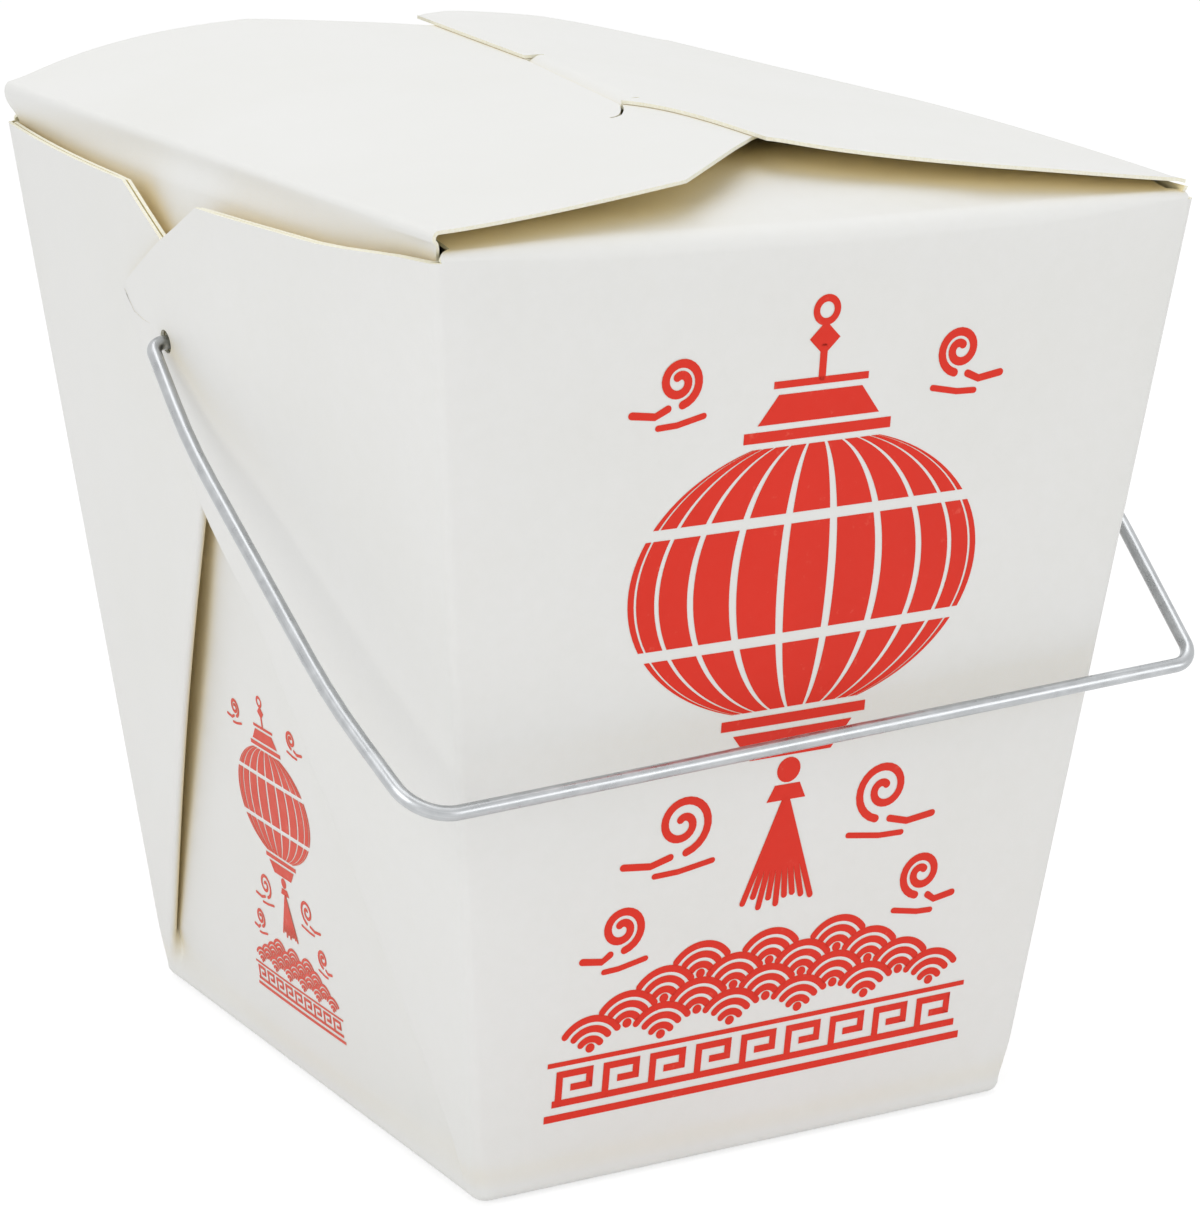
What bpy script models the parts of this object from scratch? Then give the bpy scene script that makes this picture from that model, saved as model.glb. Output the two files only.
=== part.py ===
"""Folding food pail: one creased sheet of paperboard with four gusset corners and a wire bail.

The sheet is modelled as its mid-surface, section by section, and thickened with Solidify.
Frame: base on z = 0, centred; the plain end walls face -Y and +Y, the gusseted walls -X and +X.
"""
import math

import bmesh
import bpy
import numpy as np

MM = 0.001

# --- box -----------------------------------------------------------------------------------
HEIGHT = 108.0 * MM          # base to the fold of the end walls
BASE_X = 69.6 * MM           # outside, across the end wall
BASE_Y = 84.7 * MM           # outside, across the gusseted wall
TOP_X = 94.1 * MM
TOP_Y = 112.7 * MM
BOARD = 0.5 * MM             # board thickness
LAYER = 0.8 * MM             # pitch of two layers folded onto each other
FOLD_R = LAYER / 2           # mid-surface radius of a folded-over edge
BASE_BEND = 1.1 * MM         # bend between base and walls
CORNER_R = 0.8 * MM          # upright corner crease
FOOT_CORNER_R = 1.7 * MM     # the same corner where it meets the base
GUSSET_INSET = 1.3 * MM      # inner fold of a gusset from the end wall
SIDE_BULGE = 3.4 * MM        # how far a gusseted wall swells at mid width
BULGE_Z = 91.0 * MM          # height of the widest swell
GUSSET_FLARE = -0.01         # gussets keep most of that swell above that height
END_BULGE = 1.0 * MM         # swell of an end wall
GUSSET_LIFT = 1.2 * MM       # free spring of the rear gusset's folded edge
FOLD_LOSS = 1.3              # degrees of lean that the swollen wall takes from the fold
GUSSET_TOP = 0.8 * MM        # gusset's top edge below the end wall's fold
NOTCH_DROP = 6.6 * MM        # V notch between two gussets, below the end wall's fold

# --- lid -----------------------------------------------------------------------------------
LID_RISE = 3.3 * MM          # slot flap's crease above the end wall's fold
TAB_HINGE_DROP = 0.6 * MM    # tab flap's hinge below the slot flap's crease
CREASE_IN = 0.35 * MM        # lid's crease inside the side wall's own plane
LID_CREASE_R = 1.0 * MM
FRONT_RISE = 3.9 * MM        # ridge over the creases, front and rear
REAR_RISE = 7.0 * MM
FRONT_RIDGE = -3.0 * MM      # ridge position along X, front and rear
REAR_RIDGE = 7.0 * MM
FLAP_PLAY = 0.84 * MM        # pitch of the tab flap over the slot flap
SLOT_FLAP_REACH = 12.0 * MM  # slot flap's hidden end, past the middle
TAB_FLAP_EDGE = -3.0 * MM    # tab flap's front shoulder ends here
REAR_SHOULDER = -0.8 * MM    # and its rear one here
TAB_REACH = 11.0 * MM        # tab beyond the shoulders
TAB_HALF = 13.4 * MM         # half the tab's width
TAB_MID = -3.1 * MM          # tab's middle along Y
SLOT_PLAY = 0.7 * MM         # slot beyond the tab at each side
SLOT_X = -2.0 * MM           # slot's edge over the tab
SLOT_WIDE = 5.7 * MM         # slot along X
SLIT = 0.5 * MM              # slit between the tab and each shoulder
HINGE_GAP = 0.3 * MM         # between the side wall's top edge and the tab flap

# --- dust flaps ----------------------------------------------------------------------------
DUST_DEPTH = 38.0 * MM
DUST_CREASE_R = 2.0 * MM
DUST_RISE = 3.9 * MM         # crown of a dust flap over its crease
DUST_SIDE_PLAY = 1.0 * MM    # between a dust flap and the side wall's inner face

# --- bail ----------------------------------------------------------------------------------
WIRE_R = 0.82 * MM
HOLE_R = 1.8 * MM
HOLE_BACK = 0.5 * MM         # the wire bears low and forward in its hole
HOLE_UP = 0.4 * MM
HOLE_DROP = 17.5 * MM        # hole centre below the end wall's fold
ARM_GAP = 0.1 * MM           # wire from the widest point of the gussets beside its hole
OVER_LID_LEFT = 8.7 * MM     # bail beyond the lid's corner, at each end of the crossbar
OVER_LID_RIGHT = 4.9 * MM
HANG_ANGLE = 35.2            # degrees below level when the bail hangs in front
BAR_LEFT = 48.3 * MM         # crossbar's ends from the middle
BAR_RIGHT = 52.0 * MM
ARM_BOW = 0.42 * MM          # arms swell, by this over the gussets' top corners
ARM_DRAW = 2.0 * MM          # and draw in again towards the left end of the crossbar
ELBOW_R = 1.7 * MM
HOOK = 7.0 * MM              # hooked end inside the box

WHITE = (0.86, 0.86, 0.84, 1.0)
ZINC = (0.55, 0.57, 0.58, 1.0)

HINGE_Z = HEIGHT - HOLE_DROP
LID_Z = HEIGHT + LID_RISE
TAB_Z = LID_Z - TAB_HINGE_DROP
NOTCH_Z = HEIGHT - NOTCH_DROP
GUSSET_Z = HEIGHT - GUSSET_TOP
FOOT_Z = BOARD / 2 + BASE_BEND


def smooth(t):
    t = min(max(t, 0.0), 1.0)
    return t * t * (3 - 2 * t)


def mix(a, b, t):
    return a + (b - a) * t


# ------------------------------------------------------------------------------- wall planes
SIDE0 = BASE_X / 2 - BOARD / 2
SIDE_SLOPE = (TOP_X / 2 - BOARD / 2 - SIDE0) / HEIGHT
END0 = BASE_Y / 2 - BOARD / 2
END_SLOPE = (TOP_Y / 2 - BOARD / 2 - END0) / HEIGHT

# The flat wedge between two walls is folded in half, so the fold stands at half its angle.
END_FLARE = math.atan(SIDE_SLOPE / math.hypot(1, END_SLOPE))
SIDE_FLARE = math.atan(END_SLOPE / math.hypot(1, SIDE_SLOPE))
WEDGE = math.pi / 2 - END_FLARE - SIDE_FLARE
FOLD_SLOPE = math.tan(WEDGE / 2 - SIDE_FLARE - math.radians(FOLD_LOSS))   # from upright
REACH_SLOPE = FOLD_SLOPE + END_SLOPE                # gusset's width for each unit of height


def side_plane(z):
    return SIDE0 + SIDE_SLOPE * z


def end_plane(z):
    return END0 + END_SLOPE * z


def side_bulge(z):
    if z <= BULGE_Z:
        return SIDE_BULGE * max(z / BULGE_Z, 0.0) ** 1.5
    return SIDE_BULGE * (1 - ((z - BULGE_Z) / (LID_Z - LID_CREASE_R - BULGE_Z)) ** 2)


def sink(z):
    """Near its corners a side wall stands back by the gusset's two layers."""
    return section(z)[4] if z > FOOT_Z else 0.0


def side_x(y, z):
    """Mid-surface of a side wall, from the middle of the box."""
    edge = min((y / end_plane(z)) ** 2, 1.0)
    x = side_plane(z) - sink(z) * edge + side_bulge(z) * (1 - edge)
    return mix(x, crease_x(), smooth((z - GUSSET_Z) / (LID_Z - LID_CREASE_R - GUSSET_Z)))


def crease_x():
    return side_plane(LID_Z) - CREASE_IN


# ------------------------------------------------------------------------- one gusset corner
ARC1, FACE, ARC2, BACK, ARC3 = 2, 8, 4, 8, 4        # columns in each part of the section
STATIONS = ARC1 + FACE + ARC2 + BACK + ARC3 + 1
S_HEIGHT = 6.0 * MM          # the fold is fully turned over above this height
FOOT_FACE = 1.0 * MM         # runs of the fold where it starts, flat, at the foot
FOOT_BACK = 0.6 * MM
FOOT_ARC = 0.75 * MM
FOLD_TOP = (NOTCH_Z + FOLD_SLOPE * END0) / (1 + FOLD_SLOPE ** 2)
CHAMFER_Y = (GUSSET_Z - NOTCH_Z) / FOLD_SLOPE       # the gusset's top corner from mid width
CHAMFER_U = ((end_plane(GUSSET_Z) - CHAMFER_Y - CORNER_R)
             / (REACH_SLOPE * (GUSSET_Z - FOOT_Z)))   # and the column that carries it


def section(z):
    """S-fold at height z: corner radius, face run, turn, back run, offset, fold radius."""
    up = max(z - FOOT_Z, 0.0)
    t = min(up / S_HEIGHT, 1.0)
    turn = math.pi * max(t, 0.01)
    r1 = mix(FOOT_CORNER_R, CORNER_R, smooth(t))
    fold_r = max(FOLD_R, FOOT_ARC / turn)
    face = math.hypot(REACH_SLOPE * up, FOOT_FACE)
    step = 2 * fold_r * (1 - math.cos(turn))
    room = (2 * LAYER + 0.15 * MM - step) / max(math.sin(turn), 1e-6)
    back = max(min((face + r1 - GUSSET_INSET) * t, room), FOOT_BACK)
    return r1, face, turn, back, step + back * math.sin(turn), fold_r


def part_fractions():
    """Where each column lies inside its part of the section."""
    side = [CHAMFER_U * t for t in (0.0, 0.2, 0.42, 0.63, 0.83)]
    face = side + [CHAMFER_U, mix(CHAMFER_U, 1, 0.36), mix(CHAMFER_U, 1, 0.7), 1.0]
    out = [(0, i / ARC1) for i in range(ARC1)]
    out += [(1, face[i]) for i in range(FACE)]
    out += [(2, i / ARC2) for i in range(ARC2)]
    out += [(3, 1 - face[FACE - i]) for i in range(BACK)]
    out += [(4, i / ARC3) for i in range(ARC3 + 1)]
    return out


PARTS = part_fractions()


def fold_point(station, z):
    """(p, q) of one column: p along the side wall from the corner, q outward from it."""
    r1, face, turn, back, out, fold_r = section(z)
    part, t = PARTS[station]
    if part == 0:
        a = math.pi / 2 * t
        return r1 * (1 - math.cos(a)), out - r1 * (1 - math.sin(a))
    if part == 1:
        return r1 + face * t, out
    p, q = r1 + face, out
    a = turn * t if part == 2 else turn
    p, q = p + fold_r * math.sin(a), q - fold_r * (1 - math.cos(a))
    if part == 2:
        return p, q
    run = back * t if part == 3 else back
    p, q = p + run * math.cos(turn), q - run * math.sin(turn)
    a = turn * t if part == 4 else 0.0
    return (p + fold_r * (math.sin(turn) - math.sin(turn - a)),
            q - fold_r * (math.cos(turn - a) - math.cos(turn)))


def gusset_shift(rear, p, z):
    """Gussets flare off the wall at the top; rear ones spring off it below; front ones climb."""
    reach = REACH_SLOPE * max(z - FOOT_Z, 1 * MM) + CORNER_R + FOLD_R
    cross = END0 / FOLD_SLOPE
    flare = 0.0
    if z > BULGE_Z:
        flare = SIDE_BULGE + GUSSET_FLARE * (z - BULGE_Z) - side_bulge(z)
        flare *= 1 - min((1 - p / end_plane(z)) ** 2, 1.0)
    if rear:
        hump = math.sin(math.pi * min(max((z - 4 * MM) / (cross - 8 * MM), 0.0), 1.0))
        return flare + GUSSET_LIFT * hump * smooth(p / reach) ** 2
    level = min(z, FOLD_TOP)
    edge = end_plane(z) + end_plane(level) - REACH_SLOPE * (level - FOOT_Z) - CORNER_R
    clear = z - NOTCH_Z - FOLD_SLOPE * (p - end_plane(z))     # above the rear gusset's cut
    climb = 2 * LAYER * (1 - 0.7 * smooth((clear - 1 * MM) / (16 * MM)))
    return flare + climb * smooth((p - (edge - 26 * MM)) / (24 * MM))


def corner_point(sx, sy, station, z):
    p, q = fold_point(station, z)
    y = end_plane(z) - p
    x = side_x(y, z) + q + gusset_shift(sy > 0, p, z) * smooth(q / LAYER)
    return sx * x, sy * y, z


def gusset_limit(sy, y):
    """Top outline of a gusset at y: its top edge, then the cut square to the fold."""
    return min(GUSSET_Z, NOTCH_Z - FOLD_SLOPE * (-sy * y))


def corner_top(sx, sy, station):
    low, high = 40 * MM, GUSSET_Z
    if corner_point(sx, sy, station, high)[2] <= gusset_limit(sy, corner_point(sx, sy, station, high)[1]):
        return high
    for _ in range(50):
        z = (low + high) / 2
        if z < gusset_limit(sy, corner_point(sx, sy, station, z)[1]):
            low = z
        else:
            high = z
    return low


# ------------------------------------------------------------------------------- lid surface
def lid_raw(x, y):
    q = (y / end_plane(HEIGHT) + 1) / 2
    q = min(max(q, 0.0), 1.0)
    edge = crease_x()
    ridge = mix(FRONT_RIDGE, REAR_RIDGE, q)
    rise = mix(FRONT_RISE, REAR_RISE, q)
    if x < ridge:
        t = min(max((x + edge) / (ridge + edge), 0.0), 1.0)
        shape = mix(t ** 1.4, 1 - (1 - t) ** 2.8, q)
    else:
        t = min(max((edge - x) / (edge - ridge), 0.0), 1.0)
        shape = mix(t ** 2.3, t, q)
    return mix(LID_Z, TAB_Z, (x + edge) / (2 * edge)) + rise * shape


def lid_z(x, y):
    """Mid-surface of the slot flap, and of the lid as a whole: two shallow slopes and a ridge."""
    return sum(lid_raw(x + k * 1.6 * MM, y) for k in (-2, -1, 0, 1, 2)) / 5


def tab_flap_z(x, y, dives):
    ramp = smooth((crease_x() - x) / (26 * MM))
    top = lid_z(x, y) + FLAP_PLAY * ramp
    if not dives:
        return top
    return top - 2 * FLAP_PLAY * smooth((SLOT_X + SLOT_WIDE + 0.2 * MM - x) / (SLOT_WIDE + 0.4 * MM))


def outline(points, x):
    """Half width at x on a flap whose edge runs straight between named stations."""
    for (x0, w0), (x1, w1) in zip(points, points[1:]):
        if x <= x1:
            return mix(w0, w1, min(max((x - x0) / (x1 - x0), 0.0), 1.0))
    return points[-1][1]


# ----------------------------------------------------------------------------------- helpers
def fresh_scene():
    for obj in list(bpy.data.objects):
        bpy.data.objects.remove(obj, do_unlink=True)


def collection(name):
    col = bpy.data.collections.new(name)
    bpy.context.scene.collection.children.link(col)
    return col


def material(name, colour, roughness, metallic):
    mat = bpy.data.materials.new(name)
    mat.use_nodes = True
    shader = mat.node_tree.nodes["Principled BSDF"]
    shader.inputs["Base Color"].default_value = colour
    shader.inputs["Roughness"].default_value = roughness
    shader.inputs["Metallic"].default_value = metallic
    return mat


def add_object(name, data, col, mat):
    obj = bpy.data.objects.new(name, data)
    col.objects.link(obj)
    if mat is not None:
        obj.data.materials.append(mat)
    return obj


def solidify(obj):
    mod = obj.modifiers.new("Board", 'SOLIDIFY')
    mod.thickness = BOARD
    mod.offset = 0.0
    mod.use_even_offset = True
    mod.thickness_clamp = 0.0


def cut(obj, cutter):
    mod = obj.modifiers.new("Cut " + cutter.name, 'BOOLEAN')
    mod.operation = 'DIFFERENCE'
    mod.object = cutter


def box_cutter(name, col, centre, size, turn=0.0):
    bm = bmesh.new()
    bmesh.ops.create_cube(bm, size=1.0)
    bmesh.ops.scale(bm, vec=size, verts=bm.verts)
    mesh = bpy.data.meshes.new(name)
    bm.to_mesh(mesh)
    bm.free()
    obj = add_object(name, mesh, col, None)
    obj.location = centre
    obj.rotation_euler = (0, 0, turn)
    obj.hide_render = True
    obj.display_type = 'WIRE'
    return obj


def rod_cutter(name, col, centre, radius, length):
    bm = bmesh.new()
    bmesh.ops.create_cone(bm, cap_ends=True, segments=24, radius1=radius, radius2=radius,
                          depth=length)
    mesh = bpy.data.meshes.new(name)
    bm.to_mesh(mesh)
    bm.free()
    obj = add_object(name, mesh, col, None)
    obj.location = centre
    obj.rotation_euler = (0, math.pi / 2, 0)
    obj.hide_render = True
    obj.display_type = 'WIRE'
    return obj


class Sheet:
    """Vertices and quads of the creased sheet."""

    def __init__(self):
        self.points = []
        self.faces = []

    def add(self, point):
        self.points.append(point)
        return len(self.points) - 1

    def row(self, points):
        return [self.add(p) for p in points]

    def skin(self, low, high, turned=()):
        """Quads between two rows; turned ones start at the next corner, so split the other way."""
        for i in range(len(low) - 1):
            quad = (low[i], low[i + 1], high[i + 1], high[i])
            self.faces.append(quad[1:] + quad[:1] if i in turned else quad)

    def mesh(self, name):
        mesh = bpy.data.meshes.new(name)
        mesh.from_pydata([tuple(p) for p in self.points], [], self.faces)
        bm = bmesh.new()
        bm.from_mesh(mesh)
        bmesh.ops.recalc_face_normals(bm, faces=bm.faces)
        bm.to_mesh(mesh)
        bm.free()
        return mesh


# ------------------------------------------------------------------------------- the carton
END_COLS = 6
DUST_ARC, DUST_ROWS = 3, 6
SIDE_COLS = 10
LOW_ROWS = [S_HEIGHT * t for t in (0.0, 0.14, 0.28, 0.44, 0.6, 0.8, 1.0)]
HIGH_ROWS = [0.0, 0.12, 0.26, 0.40, 0.54, 0.67, 0.79, 0.90, 1.0]
HIGH_START = FOOT_Z + S_HEIGHT + 4.0 * MM


def end_wall_point(sy, t, z):
    """t runs 0 to 1 across an end wall, from -X to +X."""
    r1, _, _, _, out, _ = section(z)
    half = side_x(end_plane(z), z) + out - r1
    x = mix(-half, half, t)
    swell = END_BULGE * math.sin(math.pi * min(max(z / HEIGHT, 0.0), 1.0)) ** 1.5
    return x, sy * (end_plane(z) + swell * (1 - (x / half) ** 2)), z


def side_wall_start(z):
    """p where a side wall begins beside its gusset's inner fold."""
    if z > GUSSET_Z:
        return mix(fold_point(STATIONS - 1, GUSSET_Z)[0], 0.1 * MM,
                   smooth((z - GUSSET_Z) / (2.4 * MM)))
    return fold_point(STATIONS - 1, z)[0]


def side_wall_point(sx, t, z):
    """t runs 0 to 1 along a side wall, from -Y to +Y."""
    half = end_plane(z) - side_wall_start(z)
    y = mix(-half, half, t)
    return sx * side_x(y, z), y, z


def build_columns():
    """Columns round the box, in order: each is (kind, key data, top of the main wall)."""
    cols = []

    def corner(sx, sy, order):
        for s in order:
            cols.append(("corner", sx, sy, s, corner_top(sx, sy, s)))

    forward = list(range(STATIONS))
    for i in range(1, END_COLS):
        cols.append(("end", -1, None, i / END_COLS, HEIGHT - crease_radius(i / END_COLS)))
    corner(1, -1, forward)
    for i in range(1, SIDE_COLS):
        cols.append(("side", 1, None, i / SIDE_COLS, GUSSET_Z))
    corner(1, 1, forward[::-1])
    for i in range(1, END_COLS):
        cols.append(("end", 1, None, 1 - i / END_COLS, HEIGHT - crease_radius(i / END_COLS)))
    corner(-1, 1, forward)
    for i in range(1, SIDE_COLS):
        cols.append(("side", -1, None, 1 - i / SIDE_COLS, GUSSET_Z))
    corner(-1, -1, forward[::-1])
    return cols


def column_point(col, z):
    kind, s, sy, key, _ = col
    if kind == "end":
        return end_wall_point(s, key, z)
    if kind == "side":
        return side_wall_point(s, key, z)
    return corner_point(s, sy, key, z)


def foot_point(col, angle):
    """Bend from the flat base (angle 0) up to the foot of the wall (angle 90 degrees)."""
    x, y, _ = column_point(col, FOOT_Z)
    inset = BASE_BEND * (1 - math.sin(angle))
    z = BOARD / 2 + BASE_BEND * (1 - math.cos(angle))
    cx = side_plane(FOOT_Z) - FOOT_CORNER_R
    cy = end_plane(FOOT_Z) - FOOT_CORNER_R
    dx, dy = max(abs(x) - cx, 0.0), max(abs(y) - cy, 0.0)
    reach = math.hypot(dx, dy)
    if dx > 0 and dy > 0 and reach > 0:
        keep = (reach - inset) / reach
        return math.copysign(cx + dx * keep, x), math.copysign(cy + dy * keep, y), z
    if dx > 0:
        return math.copysign(abs(x) - inset, x), y, z
    return x, math.copysign(abs(y) - inset, y), z


def dust_half(depth):
    """Half width of a dust flap, by how far it has come in from the crease."""
    start = side_plane(HEIGHT) - CORNER_R
    clear = side_plane(HEIGHT) - 2 * LAYER - BOARD - DUST_SIDE_PLAY
    half = mix(start, clear, smooth(depth / (1.6 * MM)))
    return half - 9 * MM * smooth((depth - 12 * MM) / (DUST_DEPTH - 12 * MM))


def crease_radius(t):
    """The end wall's crease is tight at the corners and soft between them."""
    return mix(GUSSET_TOP, DUST_CREASE_R, smooth(min(t, 1 - t) / 0.2))


def dust_row(sy, k):
    """Rows of a dust flap: three round the crease, then out along the flap."""
    out = []
    for i in range(END_COLS + 1):
        t = i / END_COLS
        r = crease_radius(t)
        if k < DUST_ARC:
            turn = math.pi / 2 * (k + 1) / DUST_ARC
            depth, lift = r * (1 - math.cos(turn)), r * math.sin(turn)
        else:
            depth = mix(r, DUST_DEPTH, ((k + 1 - DUST_ARC) / DUST_ROWS) ** 1.3)
            lift = r
        half = dust_half(depth)
        x = mix(-half, half, t)
        crown = (1 - abs(x / half) ** 2.5) * smooth(depth / (22 * MM)) * DUST_RISE
        side = 0.5 * MM * smooth(depth / (12 * MM))
        swell = end_wall_point(sy, t, HEIGHT - r)[1]
        y = mix(swell, sy * end_plane(HEIGHT - r), smooth(depth / (8 * MM))) - sy * depth
        out.append((x, y, HEIGHT - r + lift + crown + side))
    return out


def build_carton(col, mat):
    sheet = Sheet()
    cols = build_columns()
    loop = cols + [cols[0]]

    rings = []
    for a in (0.0, math.pi / 4):
        rings.append(sheet.row([foot_point(c, a) for c in cols]))
    for up in LOW_ROWS:
        rings.append(sheet.row([column_point(c, FOOT_Z + up) for c in cols]))
    for f in HIGH_ROWS:
        rings.append(sheet.row([column_point(c, mix(HIGH_START, c[4], f)) for c in cols]))
    sheet.faces.append(tuple(rings[0]))
    # a gusset's two layers are split along the same diagonals
    turned = {i for i, c in enumerate(cols) if c[0] == "corner" and PARTS[c[3]][0] == 3}
    for low, high in zip(rings, rings[1:]):
        sheet.skin(low + [low[0]], high + [high[0]], turned)

    top = rings[-1]
    index = {}
    for i, c in enumerate(cols):
        index.setdefault((c[0], c[1], c[2], c[3]), top[i])

    # dust flaps grow from the end walls, corner column to corner column
    for sy in (-1, 1):
        edge = [index[("corner", -1, sy, 0)]]
        keys = [i / END_COLS for i in range(1, END_COLS)]
        if sy > 0:
            keys = [1 - i / END_COLS for i in range(END_COLS - 1, 0, -1)]
        edge += [index[("end", sy, None, k)] for k in keys]
        edge.append(index[("corner", 1, sy, 0)])
        previous = edge
        for k in range(DUST_ARC + DUST_ROWS):
            current = sheet.row(dust_row(sy, k))
            sheet.skin(previous, current)
            previous = current

    # side walls go on past their gussets, to the tab flap's hinge or the slot flap's crease
    for sx in (-1, 1):
        edge = [index[("corner", sx, -1, STATIONS - 1)]]
        keys = [i / SIDE_COLS for i in range(1, SIDE_COLS)]
        if sx < 0:
            keys = [1 - i / SIDE_COLS for i in range(SIDE_COLS - 1, 0, -1)]
        edge += [index[("side", sx, None, k)] for k in keys]
        edge.append(index[("corner", sx, 1, STATIONS - 1)])
        end = TAB_Z - BOARD / 2 - HINGE_GAP if sx > 0 else LID_Z - LID_CREASE_R
        previous = edge
        for k in (1, 2, 3):
            z = mix(GUSSET_Z, end, k / 3)
            current = sheet.row([side_wall_point(sx, i / SIDE_COLS, z)
                                 for i in range(SIDE_COLS + 1)])
            sheet.skin(previous, current)
            previous = current
        if sx < 0:
            build_slot_flap(sheet, previous)

    obj = add_object("carton", sheet.mesh("carton"), col, mat)
    solidify(obj)
    return obj


def build_slot_flap(sheet, previous):
    edge = crease_x()
    base = end_plane(LID_Z) - 0.1 * MM
    widths = [(-edge, base), (-16 * MM, 53 * MM / (56.1 * MM) * end_plane(HEIGHT)),
              (TAB_FLAP_EDGE, 43 * MM), (SLOT_FLAP_REACH - 3 * MM, 31 * MM), (SLOT_FLAP_REACH, 27 * MM)]
    rows = []
    for a in (math.pi / 6, math.pi / 3, math.pi / 2):
        rows.append((-edge + LID_CREASE_R * (1 - math.cos(a)), a))
    inner = -edge + LID_CREASE_R
    for t in (0.05, 0.12, 0.22, 0.34, 0.46, 0.58, 0.68, 0.76, 0.84, 0.92, 1.0):
        rows.append((mix(inner, SLOT_FLAP_REACH, t), None))
    for x, a in rows:
        half = outline(widths, x)
        line = []
        for i in range(SIDE_COLS + 1):
            y = mix(-half, half, i / SIDE_COLS)
            z = lid_z(x, y)
            if a is not None:
                z = mix(LID_Z - LID_CREASE_R, lid_z(inner, y), math.sin(a))
            line.append((x, y, z))
        current = sheet.row(line)
        sheet.skin(previous, current)
        previous = current


# ----------------------------------------------------------------------------- the tab flap
def build_tab_flap(col, mat):
    """Shoulders on both sides of a tab; a short slit lets the tab dive through the slot."""
    edge = crease_x()
    widths = [(TAB_FLAP_EDGE, 42 * MM), (5 * MM, 46 * MM), (23 * MM, 52.3 * MM),
              (edge, end_plane(TAB_Z) - 0.3 * MM)]
    slot_end = SLOT_X + SLOT_WIDE
    hinge_x, hinge_z = edge - 0.1 * MM, TAB_Z
    xs = [mix(hinge_x, slot_end + 4 * MM, i / 8) for i in range(9)]
    xs += [slot_end + 1 * MM]
    xs += [mix(slot_end + 0.2 * MM, SLOT_X - 0.2 * MM, i / 4) for i in range(5)]
    xs += [TAB_FLAP_EDGE]
    shoulder, tab = (1.0, 0.75, 0.5, 0.25, 0.0), (-1.0, -0.5, 0.0, 0.5, 1.0)
    sheet = Sheet()
    rows = []
    for i, x in enumerate(xs):
        half = outline(widths, x)
        near = TAB_HALF + SLIT
        left = [mix(TAB_MID - near, -half, v) for v in shoulder]
        middle = [TAB_MID + TAB_HALF * v for v in tab]
        right = [mix(TAB_MID + near, half, v) for v in reversed(shoulder)]
        line = []
        for ys, dives, end in ((left, False, TAB_FLAP_EDGE), (middle, True, TAB_FLAP_EDGE),
                               (right, False, REAR_SHOULDER)):
            share = max(slot_end - x, 0.0) / (slot_end - TAB_FLAP_EDGE)
            part_x = x + share * (end - TAB_FLAP_EDGE)
            line.append(sheet.row([(part_x - hinge_x, y,
                                    (TAB_Z if i == 0 else tab_flap_z(part_x, y, dives)) - hinge_z)
                                   for y in ys]))
        rows.append(line)
    for i in range(len(rows) - 1):
        for low, high in zip(rows[i], rows[i + 1]):
            sheet.skin(low, high)
        if xs[i + 1] > slot_end + 0.5 * MM:
            for side in (0, 1):
                a, b = rows[i][side][-1], rows[i][side + 1][0]
                c, d = rows[i + 1][side][-1], rows[i + 1][side + 1][0]
                sheet.faces.append((a, b, d, c))
    previous = rows[-1][1]
    for t in (0.25, 0.5, 0.75, 0.92, 1.0):
        x = TAB_FLAP_EDGE - TAB_REACH * t
        half = TAB_HALF * (1 - 0.28 * max((t - 0.5) / 0.5, 0.0) ** 2)
        ys = [TAB_MID + half * v for v in tab]
        current = sheet.row([(x - hinge_x, y, lid_z(x, y) - FLAP_PLAY - hinge_z) for y in ys])
        sheet.skin(previous, current)
        previous = current
    obj = add_object("tab_flap", sheet.mesh("tab_flap"), col, mat)
    obj.location = (hinge_x, 0, hinge_z)
    solidify(obj)
    return obj


# ---------------------------------------------------------------------------------- the bail
def widest_gusset(reach):
    """How far out the stacked gussets come within that distance of the wire's axis."""
    out = 0.0
    for sy in (-1, 1):
        for station in range(ARC1, ARC1 + FACE + ARC2 + 1):
            top = corner_top(1, sy, station)
            for k in range(41):
                x, y, z = corner_point(1, sy, station, mix(HINGE_Z - reach, top, k / 40))
                if math.hypot(y, z - HINGE_Z) < reach:
                    out = max(out, x + BOARD / 2)
    return out


def round_path(points, radii, step):
    """A path through corner points with each inner corner rounded to its radius."""
    pts = [np.array(p, float) for p in points]
    out = [pts[0]]
    for i in range(1, len(pts) - 1):
        a, b, c = pts[i - 1], pts[i], pts[i + 1]
        u, v = (a - b) / np.linalg.norm(a - b), (c - b) / np.linalg.norm(c - b)
        bend = math.pi - math.acos(max(-1.0, min(1.0, float(u @ v))))
        if bend < 0.02:
            out.append(b)
            continue
        r = radii[i]
        back = r * math.tan(bend / 2)
        start, end = b + u * back, b + v * back
        axis = (u + v) / np.linalg.norm(u + v)
        centre = b + axis * (r / math.cos(bend / 2))
        n = max(3, int(math.ceil(bend / step)))
        s, e = start - centre, end - centre
        for k in range(n + 1):
            t = k / n
            w = (math.sin((1 - t) * bend) * s + math.sin(t * bend) * e) / math.sin(bend)
            out.append(centre + w)
    out.append(pts[-1])
    return out


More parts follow.
